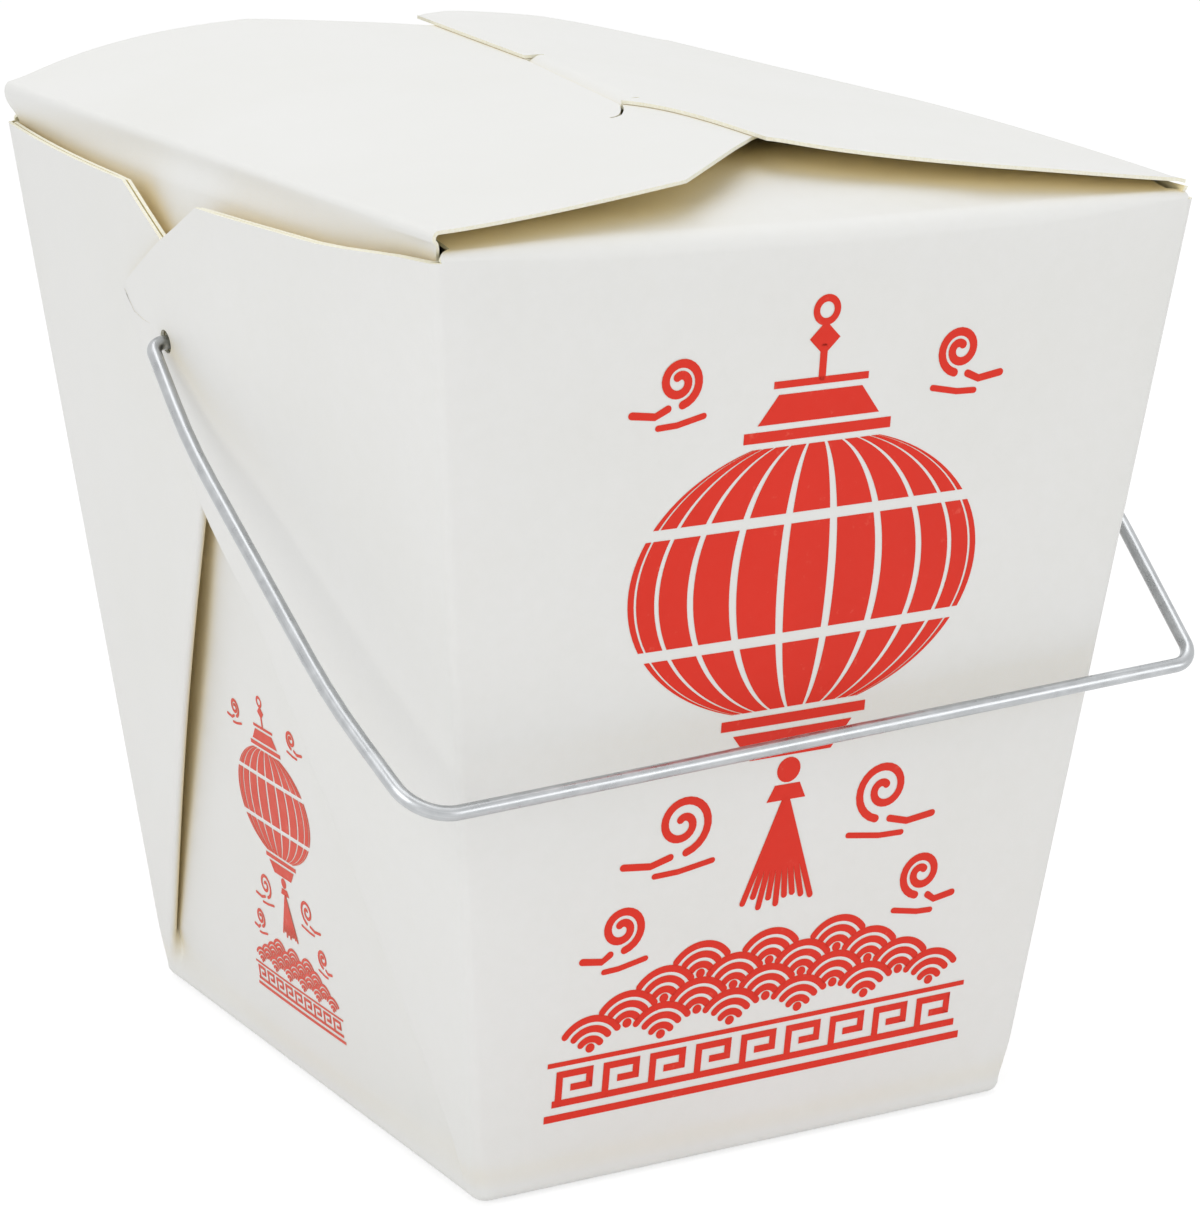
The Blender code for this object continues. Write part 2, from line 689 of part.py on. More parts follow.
def bail_points():
    """Centre line of the wire about the holes' axis, hanging in front."""
    arm_x = widest_gusset(4 * MM) + ARM_GAP + WIRE_R
    bow_x = widest_gusset(20 * MM) + ARM_BOW + WIRE_R
    inside_x = side_x(0, HINGE_Z) - BOARD / 2 - 2.6 * MM - WIRE_R
    corner = math.hypot(end_plane(LID_Z), LID_Z - HINGE_Z)
    down = math.radians(HANG_ANGLE)
    ahead = np.array([0.0, -math.cos(down), -math.sin(down)])

    def at(x, d):
        return np.array([x, 0.0, 0.0]) + ahead * d

    left, right = corner + OVER_LID_LEFT, corner + OVER_LID_RIGHT
    points = [at(-inside_x, HOOK), at(-inside_x, 0), at(-arm_x, 0),
              at(-bow_x, 0.22 * left), at(-bow_x + ARM_DRAW, 0.76 * left),
              at(-BAR_LEFT - 0.6 * MM, left), at(BAR_RIGHT, right),
              at(bow_x, 0.66 * right), at(bow_x, 0.24 * right),
              at(arm_x, 0), at(inside_x, 0), at(inside_x, HOOK)]
    radii = [0, ELBOW_R, ELBOW_R, 90 * MM, 40 * MM, 5.5 * MM, 3.2 * MM, 50 * MM, 90 * MM,
             ELBOW_R, ELBOW_R, 0]
    return round_path(points, radii, 0.30)


def build_bail(col, mat):
    data = bpy.data.curves.new("bail", 'CURVE')
    data.dimensions = '3D'
    data.bevel_depth = WIRE_R
    data.bevel_resolution = 2
    data.use_fill_caps = True
    pts = bail_points()
    spline = data.splines.new('POLY')
    spline.points.add(len(pts) - 1)
    for point, p in zip(spline.points, pts):
        point.co = (p[0], p[1], p[2], 1.0)
    obj = add_object("bail", data, col, mat)
    obj.location = (0, 0, HINGE_Z)
    return obj


def main():
    fresh_scene()
    parts = collection("takeout_box")
    cutters = collection("cutters")
    board = material("white_board", WHITE, 0.5, 0.0)
    zinc = material("zinc_wire", ZINC, 0.35, 1.0)

    carton = build_carton(parts, board)
    build_tab_flap(parts, board)
    build_bail(parts, zinc)

    for name, sx in (("hole_left", -1), ("hole_right", 1)):
        centre = (sx * widest_gusset(4 * MM), HOLE_BACK, HINGE_Z + HOLE_UP)
        cut(carton, rod_cutter(name, cutters, centre, HOLE_R, 16 * MM))
    slot_mid = SLOT_X + SLOT_WIDE / 2
    cut(carton, box_cutter("slot", cutters, (slot_mid, TAB_MID, lid_z(slot_mid, TAB_MID)),
                           (SLOT_WIDE, 2 * (TAB_HALF + SLOT_PLAY), 5 * MM)))


main()
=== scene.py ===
# Folding food pail: white coated board with a red print, a tab-lock lid and a wire bail.
import math
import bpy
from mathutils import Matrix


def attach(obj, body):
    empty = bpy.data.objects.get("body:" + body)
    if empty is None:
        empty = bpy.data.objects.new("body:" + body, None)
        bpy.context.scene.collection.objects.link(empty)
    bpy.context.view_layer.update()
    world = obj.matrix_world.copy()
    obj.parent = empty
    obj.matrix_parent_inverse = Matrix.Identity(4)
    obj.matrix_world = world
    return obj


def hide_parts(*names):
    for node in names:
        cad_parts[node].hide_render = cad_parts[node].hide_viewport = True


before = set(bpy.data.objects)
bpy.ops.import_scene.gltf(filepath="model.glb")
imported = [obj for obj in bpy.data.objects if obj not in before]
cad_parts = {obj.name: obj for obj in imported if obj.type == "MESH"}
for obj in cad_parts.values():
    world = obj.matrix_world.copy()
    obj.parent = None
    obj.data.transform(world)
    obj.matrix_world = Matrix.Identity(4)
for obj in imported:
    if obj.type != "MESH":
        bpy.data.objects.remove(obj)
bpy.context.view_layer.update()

from types import SimpleNamespace

import bmesh
import bpy
import numpy as np
from mathutils import Matrix, Vector
from mathutils.bvhtree import BVHTree
from mathutils.geometry import tessellate_polygon

mm = 0.001                      # the shapes below are worked out in millimetres


def held(t):
    # kept between 0 and 1
    return min(max(t, 0.0), 1.0)


def smooth(t):
    t = held(t)
    return t * t * (3 - 2 * t)


def eased(value, start, run):
    # 0 before start, 1 past start + run
    return smooth((value - start) / run)


def mix(a, b, t):
    return a + (b - a) * t


def srgb(r, g, b):
    def linear(c):
        c /= 255
        return c / 12.92 if c <= 0.04045 else ((c + 0.055) / 1.055) ** 2.4
    return (linear(r), linear(g), linear(b), 1.0)


def addObject(name, data):
    obj = bpy.data.objects.new(name, data)
    bpy.context.scene.collection.objects.link(obj)
    return obj


class Nodes:
    # a node tree with a shorthand for adding and feeding its nodes
    def __init__(self, tree):
        self.tree = tree

    def feed(self, socket, value):
        if isinstance(value, bpy.types.NodeSocket):
            self.tree.links.new(value, socket)
        else:
            socket.default_value = value

    def node(self, kind, inputs=None, **settings):
        made = self.tree.nodes.new(kind)
        for key, value in settings.items():
            setattr(made, key, value)
        for key, value in (inputs or {}).items():
            self.feed(made.inputs[key], value)
        return made

    def do(self, kind, inputs=None, **settings):
        return self.node(kind, inputs, **settings).outputs[0]

    def maths(self, how, a, b=0.0):
        return self.do("ShaderNodeMath", {0: a, 1: b}, operation=how)

    def seen(self):
        # 1 for what the camera sees, also through glass and in a shine
        path = self.node("ShaderNodeLightPath").outputs
        direct = self.maths('MAXIMUM', path["Is Camera Ray"], path["Is Transmission Ray"])
        return self.maths('MAXIMUM', direct, path["Is Glossy Ray"])


view = {
    "place": (-0.2340, -0.41896, 0.1851),
    "right": (0.86993, -0.49315, 0.00458),
    "up": (0.12631, 0.23177, 0.96453),
    "back": (-0.47672, -0.8385, 0.26392),
    "lens": 124.83, "sensor": 36.0, "nearest": 0.01,
}


def addCamera():
    camera = bpy.data.cameras.new("camera")
    camera.lens = view["lens"]
    camera.sensor_width = view["sensor"]
    camera.clip_start = view["nearest"]
    obj = addObject("camera", camera)
    turn = Matrix((view["right"], view["up"], view["back"])).transposed()
    obj.matrix_world = Matrix.Translation(view["place"]) @ turn.to_4x4()
    bpy.context.scene.camera = obj


light = {
    "worldStrength": 0.56, "aim": (0, 0, 0.06),
    "lamps": [                      # name, place, size, watts
        ("overhead", (0.05, 0.10, 1.15), 1.1, 4.1),
        ("leftFront", (-1.05, -0.55, 0.62), 0.9, 4.2),
        ("rightFront", (0.75, -1.10, 0.26), 0.8, 2.6),
    ],
}


def addLamps():
    for name, place, size, watts in light["lamps"]:
        lamp = bpy.data.lights.new(name, 'AREA')
        lamp.shape = 'DISK'
        lamp.size = size
        lamp.energy = watts
        obj = addObject(name, lamp)
        obj.location = place
        toPail = Vector(light["aim"]) - Vector(place)
        obj.rotation_euler = toPail.to_track_quat('-Z', 'Y').to_euler()
        obj.visible_camera = False
    world = bpy.data.worlds.new("studio")
    bpy.context.scene.world = world
    world.use_nodes = True
    sky = Nodes(world.node_tree)
    strength = sky.node("ShaderNodeMapRange", {"Value": sky.seen(), "To Min": light["worldStrength"],
                                               "To Max": 1.0})
    background = world.node_tree.nodes["Background"]
    sky.feed(background.inputs["Color"], (1, 1, 1, 1))
    sky.feed(background.inputs["Strength"], strength.outputs["Result"])


floorLook = {"size": 4.0, "below": 0.0003, "grey": 0.90, "glow": 1.32, "glowShare": 0.55}


def addFloor():
    bm = bmesh.new()
    bmesh.ops.create_grid(bm, x_segments=8, y_segments=8, size=floorLook["size"])
    bmesh.ops.translate(bm, verts=bm.verts, vec=(0, 0, -floorLook["below"]))
    mesh = bpy.data.meshes.new("floor")
    bm.to_mesh(mesh)
    bm.free()
    floor = addObject("floor", mesh)
    paint = bpy.data.materials.new("paleFloor")
    paint.use_nodes = True
    tree = paint.node_tree
    tree.nodes.remove(tree.nodes["Principled BSDF"])
    coat = Nodes(tree)
    grey = floorLook["grey"]
    matt = coat.do("ShaderNodeBsdfDiffuse", {"Color": (grey, grey, grey, 1)})
    glow = coat.do("ShaderNodeEmission", {"Strength": floorLook["glow"]})
    part = coat.maths('MULTIPLY', coat.seen(), floorLook["glowShare"])
    blend = coat.do("ShaderNodeMixShader", {0: part, 1: matt, 2: glow})
    coat.feed(tree.nodes["Material Output"].inputs["Surface"], blend)
    floor.data.materials.append(paint)


class Finish(Nodes):
    # a material with a Principled shader
    def __init__(self, name):
        self.material = bpy.data.materials.new(name)
        self.material.use_nodes = True
        super().__init__(self.material.node_tree)
        self.shader = self.tree.nodes["Principled BSDF"]
        self.place = self.node("ShaderNodeTexCoord").outputs["Object"]

    def set(self, **inputs):
        for key, value in inputs.items():
            self.feed(self.shader.inputs[key.replace("_", " ")], value)

    def noise(self, scale, detail=2.0, roughness=0.5, where=None):
        made = self.node("ShaderNodeTexNoise", {"Vector": where or self.place, "Scale": scale,
                                                "Detail": detail, "Roughness": roughness})
        return made.outputs["Fac"]

    def between(self, value, low, high, fromLow=0.0, fromHigh=1.0):
        return self.do("ShaderNodeMapRange", {"Value": value, "From Min": fromLow,
                                              "From Max": fromHigh, "To Min": low, "To Max": high})

    def ramp(self, value, stops):
        made = self.node("ShaderNodeValToRGB", {"Fac": value})
        bar = made.color_ramp.elements
        while len(bar) < len(stops):
            bar.new(0.5)
        for element, (at, colour) in zip(bar, stops):
            element.position = at
            element.color = colour
        return made.outputs["Color"]

    def tint(self, a, b):
        # one colour times another
        made = self.node("ShaderNodeMix", {"Factor": 1.0}, data_type='RGBA', blend_type='MULTIPLY')
        for label, value in (("A", a), ("B", b)):
            self.feed([s for s in made.inputs if s.name == label and s.type == 'RGBA'][0], value)
        return [s for s in made.outputs if s.type == 'RGBA'][0]

    def bump(self, layers):
        normal = None
        for height, distance, strength in layers:
            inputs = {"Height": height, "Distance": distance, "Strength": strength}
            if normal is not None:
                inputs["Normal"] = normal
            normal = self.node("ShaderNodeBump", inputs).outputs["Normal"]
        self.set(Normal=normal)


boardLook = {
    "coat": (238, 238, 236), "coatDull": (236, 236, 233),
    "inside": (251, 243, 208), "insideDull": (247, 236, 194),
    "edge": (247, 245, 230), "edgeDull": (241, 237, 214),
    # painted shade: a warm tint laid on the coat where other faces are near, in gaps, folds and under
    # flaps
    "paintedWarmShade": (255, 239, 198), "rubbed": (176, 175, 171),
    "gapReach": 0.007,              # how near another face is for the coat to take its painted warm shade
    "footHeight": (0.001, 0.012),   # near the floor that painted shade is left out
}


def boardColour(name):
    return srgb(*boardLook[name])


def coatedBoard():
    f = Finish("coatedBoard")
    cloud = f.noise(38, 3, 0.55)                       # soft unevenness over 20 to 30 mm
    mottle = f.noise(520, 3, 0.6)                      # 2 mm mottle of the clay coat
    base = f.ramp(f.between(cloud, 0, 1, 0.3, 0.7), [(0.0, boardColour("coatDull")),
                                                     (1.0, boardColour("coat"))])
    shade = f.ramp(mottle, [(0.3, (0.985, 0.985, 0.98, 1)), (0.7, (1, 1, 1, 1))])
    # painted shade: where the ambient occlusion finds other faces near, a ramp tints the coat warm
    # and a little darker; it is left out near the floor
    gap = f.node("ShaderNodeAmbientOcclusion", {"Distance": boardLook["gapReach"]}, samples=6)
    height = f.node("ShaderNodeSeparateXYZ", {0: f.place}).outputs[2]
    foot = f.between(height, 0.9, 0.0, *boardLook["footHeight"])
    openness = f.maths('MAXIMUM', gap.outputs["AO"], foot)
    glow = f.ramp(openness, [(0.25, boardColour("paintedWarmShade")), (0.85, (1, 1, 1, 1))])
    f.set(Base_Color=f.tint(f.tint(base, shade), glow),
          Roughness=f.between(mottle, 0.40, 0.56, 0.3, 0.7))
    f.set(Specular_IOR_Level=0.42)
    f.bump([(f.noise(90, 2), 0.0006, 0.10), (f.noise(2600, 3, 0.6), 0.00005, 0.22)])
    return f.material


def rubbedCoat():
    f = Finish("rubbedCoat")
    grain = f.noise(1800, 3, 0.6)
    base = f.ramp(grain, [(0.35, boardColour("rubbed")), (0.65, boardColour("coatDull"))])
    f.set(Base_Color=base, Roughness=0.62)
    return f.material


def bareInside():
    f = Finish("bareInside")
    fibre = f.noise(1400, 4, 0.65)
    base = f.ramp(fibre, [(0.35, boardColour("insideDull")), (0.65, boardColour("inside"))])
    f.set(Base_Color=base, Roughness=f.between(fibre, 0.6, 0.75, 0.3, 0.7))
    f.bump([(fibre, 0.00006, 0.35)])
    return f.material


def cutEdge():
    f = Finish("cutEdge")
    fibre = f.noise(3200, 3, 0.7)
    base = f.ramp(fibre, [(0.35, boardColour("edgeDull")), (0.62, boardColour("edge"))])
    f.set(Base_Color=base, Roughness=f.between(fibre, 0.65, 0.85, 0.3, 0.7))
    f.bump([(fibre, 0.00008, 0.5)])
    return f.material


def printInk(name, strong, thin):
    f = Finish(name)
    cover = f.noise(750, 4, 0.6)                       # the ink lies a little thin in specks
    pool = f.noise(60, 2)
    base = f.ramp(cover, [(0.22, srgb(*thin)), (0.36, srgb(*strong))])
    shade = f.ramp(pool, [(0.3, (0.95, 0.95, 0.95, 1)), (0.7, (1, 1, 1, 1))])
    f.set(Base_Color=f.tint(base, shade), Roughness=f.between(cover, 0.42, 0.56, 0.3, 0.7))
    f.set(Specular_IOR_Level=0.25)
    f.bump([(f.noise(2600, 3, 0.6), 0.00004, 0.2)])
    return f.material


def drawnWire():
    f = Finish("drawnWire")
    along = f.node("ShaderNodeAttribute", attribute_name="along").outputs["Fac"]
    around = f.node("ShaderNodeAttribute", attribute_name="around").outputs["Fac"]
    where = f.node("ShaderNodeCombineXYZ", {0: f.between(along, 0, 9, 0, 1),
                                            1: f.between(around, 0, 14, 0, 1)}).outputs[0]
    lines = f.noise(3.0, 3, 0.6, where)                # fine lines left by the die
    spangle = f.noise(420, 3, 0.6)                     # zinc's cloudy grain
    base = f.ramp(spangle, [(0.3, (0.45, 0.465, 0.475, 1)), (0.7, (0.56, 0.575, 0.585, 1))])
    shade = f.ramp(lines, [(0.35, (0.86, 0.86, 0.87, 1)), (0.65, (1, 1, 1, 1))])
    f.set(Base_Color=f.tint(base, shade), Roughness=f.between(spangle, 0.24, 0.38, 0.3, 0.7))
    f.set(Metallic=1.0)
    f.bump([(lines, 0.00004, 0.25), (spangle, 0.00003, 0.2)])
    return f.material


class Tree(Nodes):
    # a Geometry Nodes tree with named inputs, ended by its material
    def __init__(self, name, inputs):
        super().__init__(bpy.data.node_groups.new(name, 'GeometryNodeTree'))
        face = self.tree.interface
        face.new_socket(name="Geometry", in_out='INPUT', socket_type='NodeSocketGeometry')
        for label, kind, value in inputs:
            socket = face.new_socket(name=label, in_out='INPUT', socket_type='NodeSocket' + kind)
            if value is not None:
                socket.default_value = value
        face.new_socket(name="Geometry", in_out='OUTPUT', socket_type='NodeSocketGeometry')
        self.inputs = self.tree.nodes.new('NodeGroupInput').outputs

    def end(self, geometry):
        whole = self.do('GeometryNodeRealizeInstances', {"Geometry": geometry})
        painted = self.do('GeometryNodeSetMaterial', {"Geometry": whole,
                                                      "Material": self.inputs["Material"]})
        out = self.tree.nodes.new('NodeGroupOutput')
        self.tree.links.new(painted, out.inputs[0])
        return self.tree


def grow(name, tree, values, mesh=None):
    # runs a tree on a mesh and keeps the result as a plain mesh
    obj = addObject(name, mesh or bpy.data.meshes.new(name))
    mod = obj.modifiers.new(name, 'NODES')
    mod.node_group = tree
    for item in tree.interface.items_tree:
        if item.in_out == 'INPUT' and item.name in values:
            mod[item.identifier] = values[item.name]
    depsgraph = bpy.context.evaluated_depsgraph_get()
    plain = bpy.data.meshes.new_from_object(obj.evaluated_get(depsgraph))
    obj.modifiers.clear()
    obj.data = plain
    return obj


# the pail is one creased sheet; a pair is the start and run of an ease, unless a note says otherwise
pailSizes = {
    "height": 108.0, "baseX": 69.6, "baseY": 84.7, "topX": 94.1, "topY": 112.7,
    "board": 0.4, "layer": 0.62, "baseBend": 1.1, "cornerR": 0.8, "footCornerR": 1.7,
    "sideBulge": 3.74, "bulgeZ": 91.0, "bulgeCurve": 1.5, "endBulge": 0.9,
    "wallDip": 1.0, "dipFoot": (8, 50), "dipHead": (84, 16),
    # gussets
    "gussetInset": 1.3, "gussetFlare": -0.01, "gussetLift": 0.8, "gussetTop": 0.8,
    "liftFoot": 4, "foldLoss": 1.3, "notchDrop": 6.6, "backRoom": 0.15,
    "climbLoss": 0.7, "climbFade": 10, "climb": (18, 16),        # starts 18 before the folded edge
    "headRun": 2.4, "headIn": 0.1, "topSearchFrom": 40.0,
    "foldHeight": 6.0, "footFace": 1.0, "footBack": 0.6, "footArc": 0.75, "rowGap": 4,
    # lid: crease, ridge, and the powers that curve its slopes at the front and the rear
    "lidRise": 3.3, "tabHingeDrop": 0.6, "creaseIn": 0.35, "lidCreaseR": 0.6, "flapPlay": 0.46,
    "frontRise": 3.9, "rearRise": 7.42, "frontRidge": -3.0, "rearRidge": 7.0, "ridgeRound": 0.8,
    "slotSlope": (1.4, 3.4), "tabSlope": (2.3, 1.3),
    # slot flap: pairs are a place across the lid and the half width there
    "slotFlapReach": 12.0, "slotFlapIn": 0.18, "slotFlapTip": ((-3, 31), (0, 27)),
    "slotFlapNeck": (-3, 43), "slotFlapShoulder": (-16, 53 / 56.1),
    # tab flap: where its free edge lies, front to rear; half widths are paired as above
    "frontEdgeIn": -3.6, "frontEdgeOut": -0.2, "rearEdgeIn": 0.5, "rearEdgeOut": 2.2,
    "frontEdgeRun": 25, "frontEdgeCurve": 3.5, "rearEdgeRun": 30, "playRun": 26,
    "tabReach": 11.0, "tabHalf": 14.5, "tabMid": -2.8, "tabTaper": 0.28,
    "tabFlapWidths": [(-3, 42), (5, 46), (23, 52.3)],
    "frontDroop": 1.5, "frontTuck": 1.2, "droopRun": 54, "droopCurve": 1.6, "droopFrom": 14,
    "tabFlapIn": 0.3, "hingeIn": 0.1, "dive": 0.7, "diveStep": 0.2,
    "slotPlay": 0.25, "slotWide": 1.8, "slotLip": 0.2, "slit": 0.3, "hingeGap": 0.3,
    "slotCut": 3, "nickCut": (4, 3),       # how far the cutters reach below and above the lid
    "nickWide": 0.34,               # and the points it runs through
    "nick": [(-3.5, -17.7), (-4.2, -19.2), (-5.0, -20.6), (-6.1, -22.1), (-6.9, -22.6),
             (-7.6, -22.7)],
    # front wall's left corner, which stands a little high; liftX and liftY run along -x and -y
    "cornerLift": 1.0, "liftZ": (88, 18), "liftEndZ": (108.8, 2.2), "liftX": (-10, 50),
    "liftY": (34, 20),
    # dust flaps
    "dustDepth": 38.0, "dustCreaseR": 2.0, "dustRise": 3.6, "dustLift": 1.1, "dustSidePlay": 1.0,
    "dustTaper": 9, "dustTaperFrom": 12, "dustNeck": 1.6, "dustCrown": 22, "dustSettle": 8,
    "dustCrownCurve": 2.5, "dustRowCurve": 1.3, "creaseGrow": 0.2,
    # the wire's holes, and where their cutters lie and how far these reach to either side
    "holeR": 1.35, "holeZ": 90.6, "holeCutX": 50, "holeCut": 8,
}
p = SimpleNamespace(**pailSizes)
foldR = p.layer / 2
lidZ = p.height + p.lidRise
tabZ = lidZ - p.tabHingeDrop
notchZ = p.height - p.notchDrop
gussetZ = p.height - p.gussetTop
footZ = p.board / 2 + p.baseBend
side0, end0 = p.baseX / 2 - p.board / 2, p.baseY / 2 - p.board / 2
sideSlope = (p.topX / 2 - p.board / 2 - side0) / p.height
endSlope = (p.topY / 2 - p.board / 2 - end0) / p.height
sideFlare = math.atan(endSlope / math.hypot(1, sideSlope))
wedge = math.pi / 2 - math.atan(sideSlope / math.hypot(1, endSlope)) - sideFlare
foldSlope = math.tan(wedge / 2 - sideFlare - math.radians(p.foldLoss))
reachSlope = foldSlope + endSlope
foldTop = (notchZ + foldSlope * end0) / (1 + foldSlope ** 2)


def sidePlane(z):
    return side0 + sideSlope * z


def endPlane(z):
    return end0 + endSlope * z


creaseX = sidePlane(lidZ) - p.creaseIn


def sideBulge(z):
    if z <= p.bulgeZ:
        return p.sideBulge * max(z / p.bulgeZ, 0.0) ** p.bulgeCurve
    return p.sideBulge * (1 - ((z - p.bulgeZ) / (lidZ - p.lidCreaseR - p.bulgeZ)) ** 2)


def foldSection(z):
    # the folded corner at height z: corner radius, face run, turn, back run, offset, fold radius
    up = max(z - footZ, 0.0)
    t = min(up / p.foldHeight, 1.0)
    turn = math.pi * max(t, 0.01)
    corner = mix(p.footCornerR, p.cornerR, smooth(t))
    bend = max(foldR, p.footArc / turn)
    face = math.hypot(reachSlope * up, p.footFace)
    step = 2 * bend * (1 - math.cos(turn))
    room = (2 * p.layer + p.backRoom - step) / max(math.sin(turn), 1e-6)
    back = max(min((face + corner - p.gussetInset) * t, room), p.footBack)
    return corner, face, turn, back, step + back * math.sin(turn), bend


def sideX(y, z):
    # a side wall's middle surface, from the middle of the pail
    edge = min((y / endPlane(z)) ** 2, 1.0)
    sink = foldSection(z)[4] if z > footZ else 0.0
    x = sidePlane(z) - sink * edge + sideBulge(z) * (1 - edge)
    return mix(x, creaseX, eased(z, gussetZ, lidZ - p.lidCreaseR - gussetZ))


def wallX(y, z):
    # between its gussets a side wall lies a little deeper, so their folds stand off it
    dip = p.wallDip * eased(z, *p.dipFoot) * (1 - eased(z, *p.dipHead))
    return sideX(y, z) - dip * (1 - min((y / endPlane(z)) ** 2, 1.0))


# how finely each run of the sheet is divided
fine = {"corner": 5, "face": 14, "fold": 8, "end": 24, "side": 44, "faceAbove": 5,
        "footRows": 6, "lowRows": 16, "highRows": 40, "headRows": 8, "dustArc": 8, "dustRows": 22,
        "lidArc": 8, "lidRows": 52, "tabFlapRows": 48, "divingRows": 16, "shoulder": 17, "tab": 19,
        "tabRows": 16, "hole": 40, "halvings": 40}
chamferY = (gussetZ - notchZ) / foldSlope
chamferU = (endPlane(gussetZ) - chamferY - p.cornerR) / (reachSlope * (gussetZ - footZ))


def cornerParts():
    # columns of one corner: its bend, gusset's face, fold, gusset's back, inner fold
    below = fine["face"] - fine["faceAbove"]
    face = [chamferU * i / below for i in range(below)]
    face += [mix(chamferU, 1, i / fine["faceAbove"]) for i in range(fine["faceAbove"] + 1)]
    out = [(0, i / fine["corner"]) for i in range(fine["corner"])]
    out += [(1, t) for t in face[:-1]]
    out += [(2, i / fine["fold"]) for i in range(fine["fold"])]
    out += [(3, 1 - t) for t in reversed(face[1:])]
    out += [(4, i / fine["fold"]) for i in range(fine["fold"] + 1)]
    return out


parts = cornerParts()
stations = len(parts)


def foldPoint(station, z):
    # along the side wall from the corner, and outward from it
    corner, face, turn, back, out, bend = foldSection(z)
    part, t = parts[station]
    if part == 0:
        a = math.pi / 2 * t
        return corner * (1 - math.cos(a)), out - corner * (1 - math.sin(a))
    if part == 1:
        return corner + face * t, out
    a = turn * t if part == 2 else turn
    along, off = corner + face + bend * math.sin(a), out - bend * (1 - math.cos(a))
    if part == 2:
        return along, off
    run = back * t if part == 3 else back
    along, off = along + run * math.cos(turn), off - run * math.sin(turn)
    a = turn * t if part == 4 else 0.0
    return (along + bend * (math.sin(turn) - math.sin(turn - a)),
            off - bend * (math.cos(turn - a) - math.cos(turn)))


def gussetShift(rear, along, z):
    # gussets keep the swell at the top; rear ones spring off the wall; front ones climb over them
    flare = 0.0
    if z > p.bulgeZ:
        flare = p.sideBulge + p.gussetFlare * (z - p.bulgeZ) - sideBulge(z)
        flare *= 1 - min((1 - along / endPlane(z)) ** 2, 1.0)
    if rear:
        reach = reachSlope * max(z - footZ, 1.0) + p.cornerR + foldR
        hump = math.sin(math.pi * held((z - p.liftFoot) / (end0 / foldSlope - 2 * p.liftFoot)))
        return flare + p.gussetLift * hump * smooth(along / reach) ** 2
    level = min(z, foldTop)
    edge = endPlane(z) + endPlane(level) - reachSlope * (level - footZ) - p.cornerR
    clear = z - notchZ - foldSlope * (along - endPlane(z))
    climb = 2 * p.layer * (1 - p.climbLoss * smooth(clear / p.climbFade))
    return flare + climb * eased(along, edge - p.climb[0], p.climb[1])


def cornerPoint(sx, sy, station, z):
    along, off = foldPoint(station, z)
    y = endPlane(z) - along
    x = sideX(y, z) + off + gussetShift(sy > 0, along, z) * smooth(off / p.layer)
    return sx * x, sy * y, z


def gussetLimit(sy, y):
    return min(gussetZ, notchZ + foldSlope * sy * y)


def cornerTop(sx, sy, station):
    # where a column meets the gusset's top edge, or the cut square to its fold, by halving
    low, high = p.topSearchFrom, gussetZ
    if high <= gussetLimit(sy, cornerPoint(sx, sy, station, high)[1]):
        return high
    for _ in range(fine["halvings"]):
        z = (low + high) / 2
        if z < gussetLimit(sy, cornerPoint(sx, sy, station, z)[1]):
            low = z
        else:
            high = z
    return low


def endWallPoint(sy, t, z):
    corner, out = foldSection(z)[0], foldSection(z)[4]
    half = sideX(endPlane(z), z) + out - corner
    x = mix(-half, half, t)
    swell = p.endBulge * math.sin(math.pi * held(z / p.height)) ** p.bulgeCurve
    return x, sy * (endPlane(z) + swell * (1 - (x / half) ** 2)), z


def sideWallStart(z):
    # above the gussets the side wall widens to the lid's crease
    if z > gussetZ:
        return mix(foldPoint(stations - 1, gussetZ)[0], p.headIn, eased(z, gussetZ, p.headRun))
    return foldPoint(stations - 1, z)[0]


def sideWallPoint(sx, t, z):
    half = endPlane(z) - sideWallStart(z)
    y = mix(-half, half, t)
    return sx * wallX(y, z), y, z


def lidRaw(x, y):
    q = held((y / endPlane(p.height) + 1) / 2)
    ridge, rise = mix(p.frontRidge, p.rearRidge, q), mix(p.frontRise, p.rearRise, q)
    if x < ridge:
        t, (front, rear) = held((x + creaseX) / (ridge + creaseX)), p.slotSlope
    else:
        t, (front, rear) = held((creaseX - x) / (creaseX - ridge)), p.tabSlope
    shape = mix(t ** front, 1 - (1 - t) ** rear, q)
    return mix(lidZ, tabZ, (x + creaseX) / (2 * creaseX)) + rise * shape


def lidHeight(x, y):
    # the two slopes, averaged over nine steps to round the ridge
    return sum(lidRaw(x + k * p.ridgeRound, y) for k in range(-4, 5)) / 9


def flapEdge(y):
    # the tab flap's shoulders end here; between them the slot takes the tab
    front, rear = p.tabMid - p.tabHalf, p.tabMid + p.tabHalf
    if y < front:
        t = min((front - y) / p.frontEdgeRun, 1.0)
        return mix(p.frontEdgeIn, p.frontEdgeOut, 1 - (1 - t) ** p.frontEdgeCurve)
    if y > rear:
        return mix(p.rearEdgeIn, p.rearEdgeOut, (y - rear) / p.rearEdgeRun)
    return mix(p.frontEdgeIn, p.rearEdgeIn, (y - front) / (rear - front))


def droop(y):
    # the tab flap's crease sinks and draws in towards its front end
    return held(-y / p.droopRun) ** p.droopCurve


def tabFlapHeight(x, y, dives):
    top = lidHeight(x, y) + p.flapPlay * smooth((creaseX - x) / p.playRun)
    top -= p.frontDroop * droop(y) * max((x - p.droopFrom) / (creaseX - p.droopFrom), 0.0) ** 2
    if not dives:
        return top
    edge = flapEdge(y) + p.slotWide + p.slotLip
    return top - 2 * p.flapPlay * smooth((edge - x) / (p.slotWide + 2 * p.slotLip))


def halfWidth(stops, x):
    for (x0, w0), (x1, w1) in zip(stops, stops[1:]):
        if x <= x1:
            return mix(w0, w1, held((x - x0) / (x1 - x0)))
    return stops[-1][1]


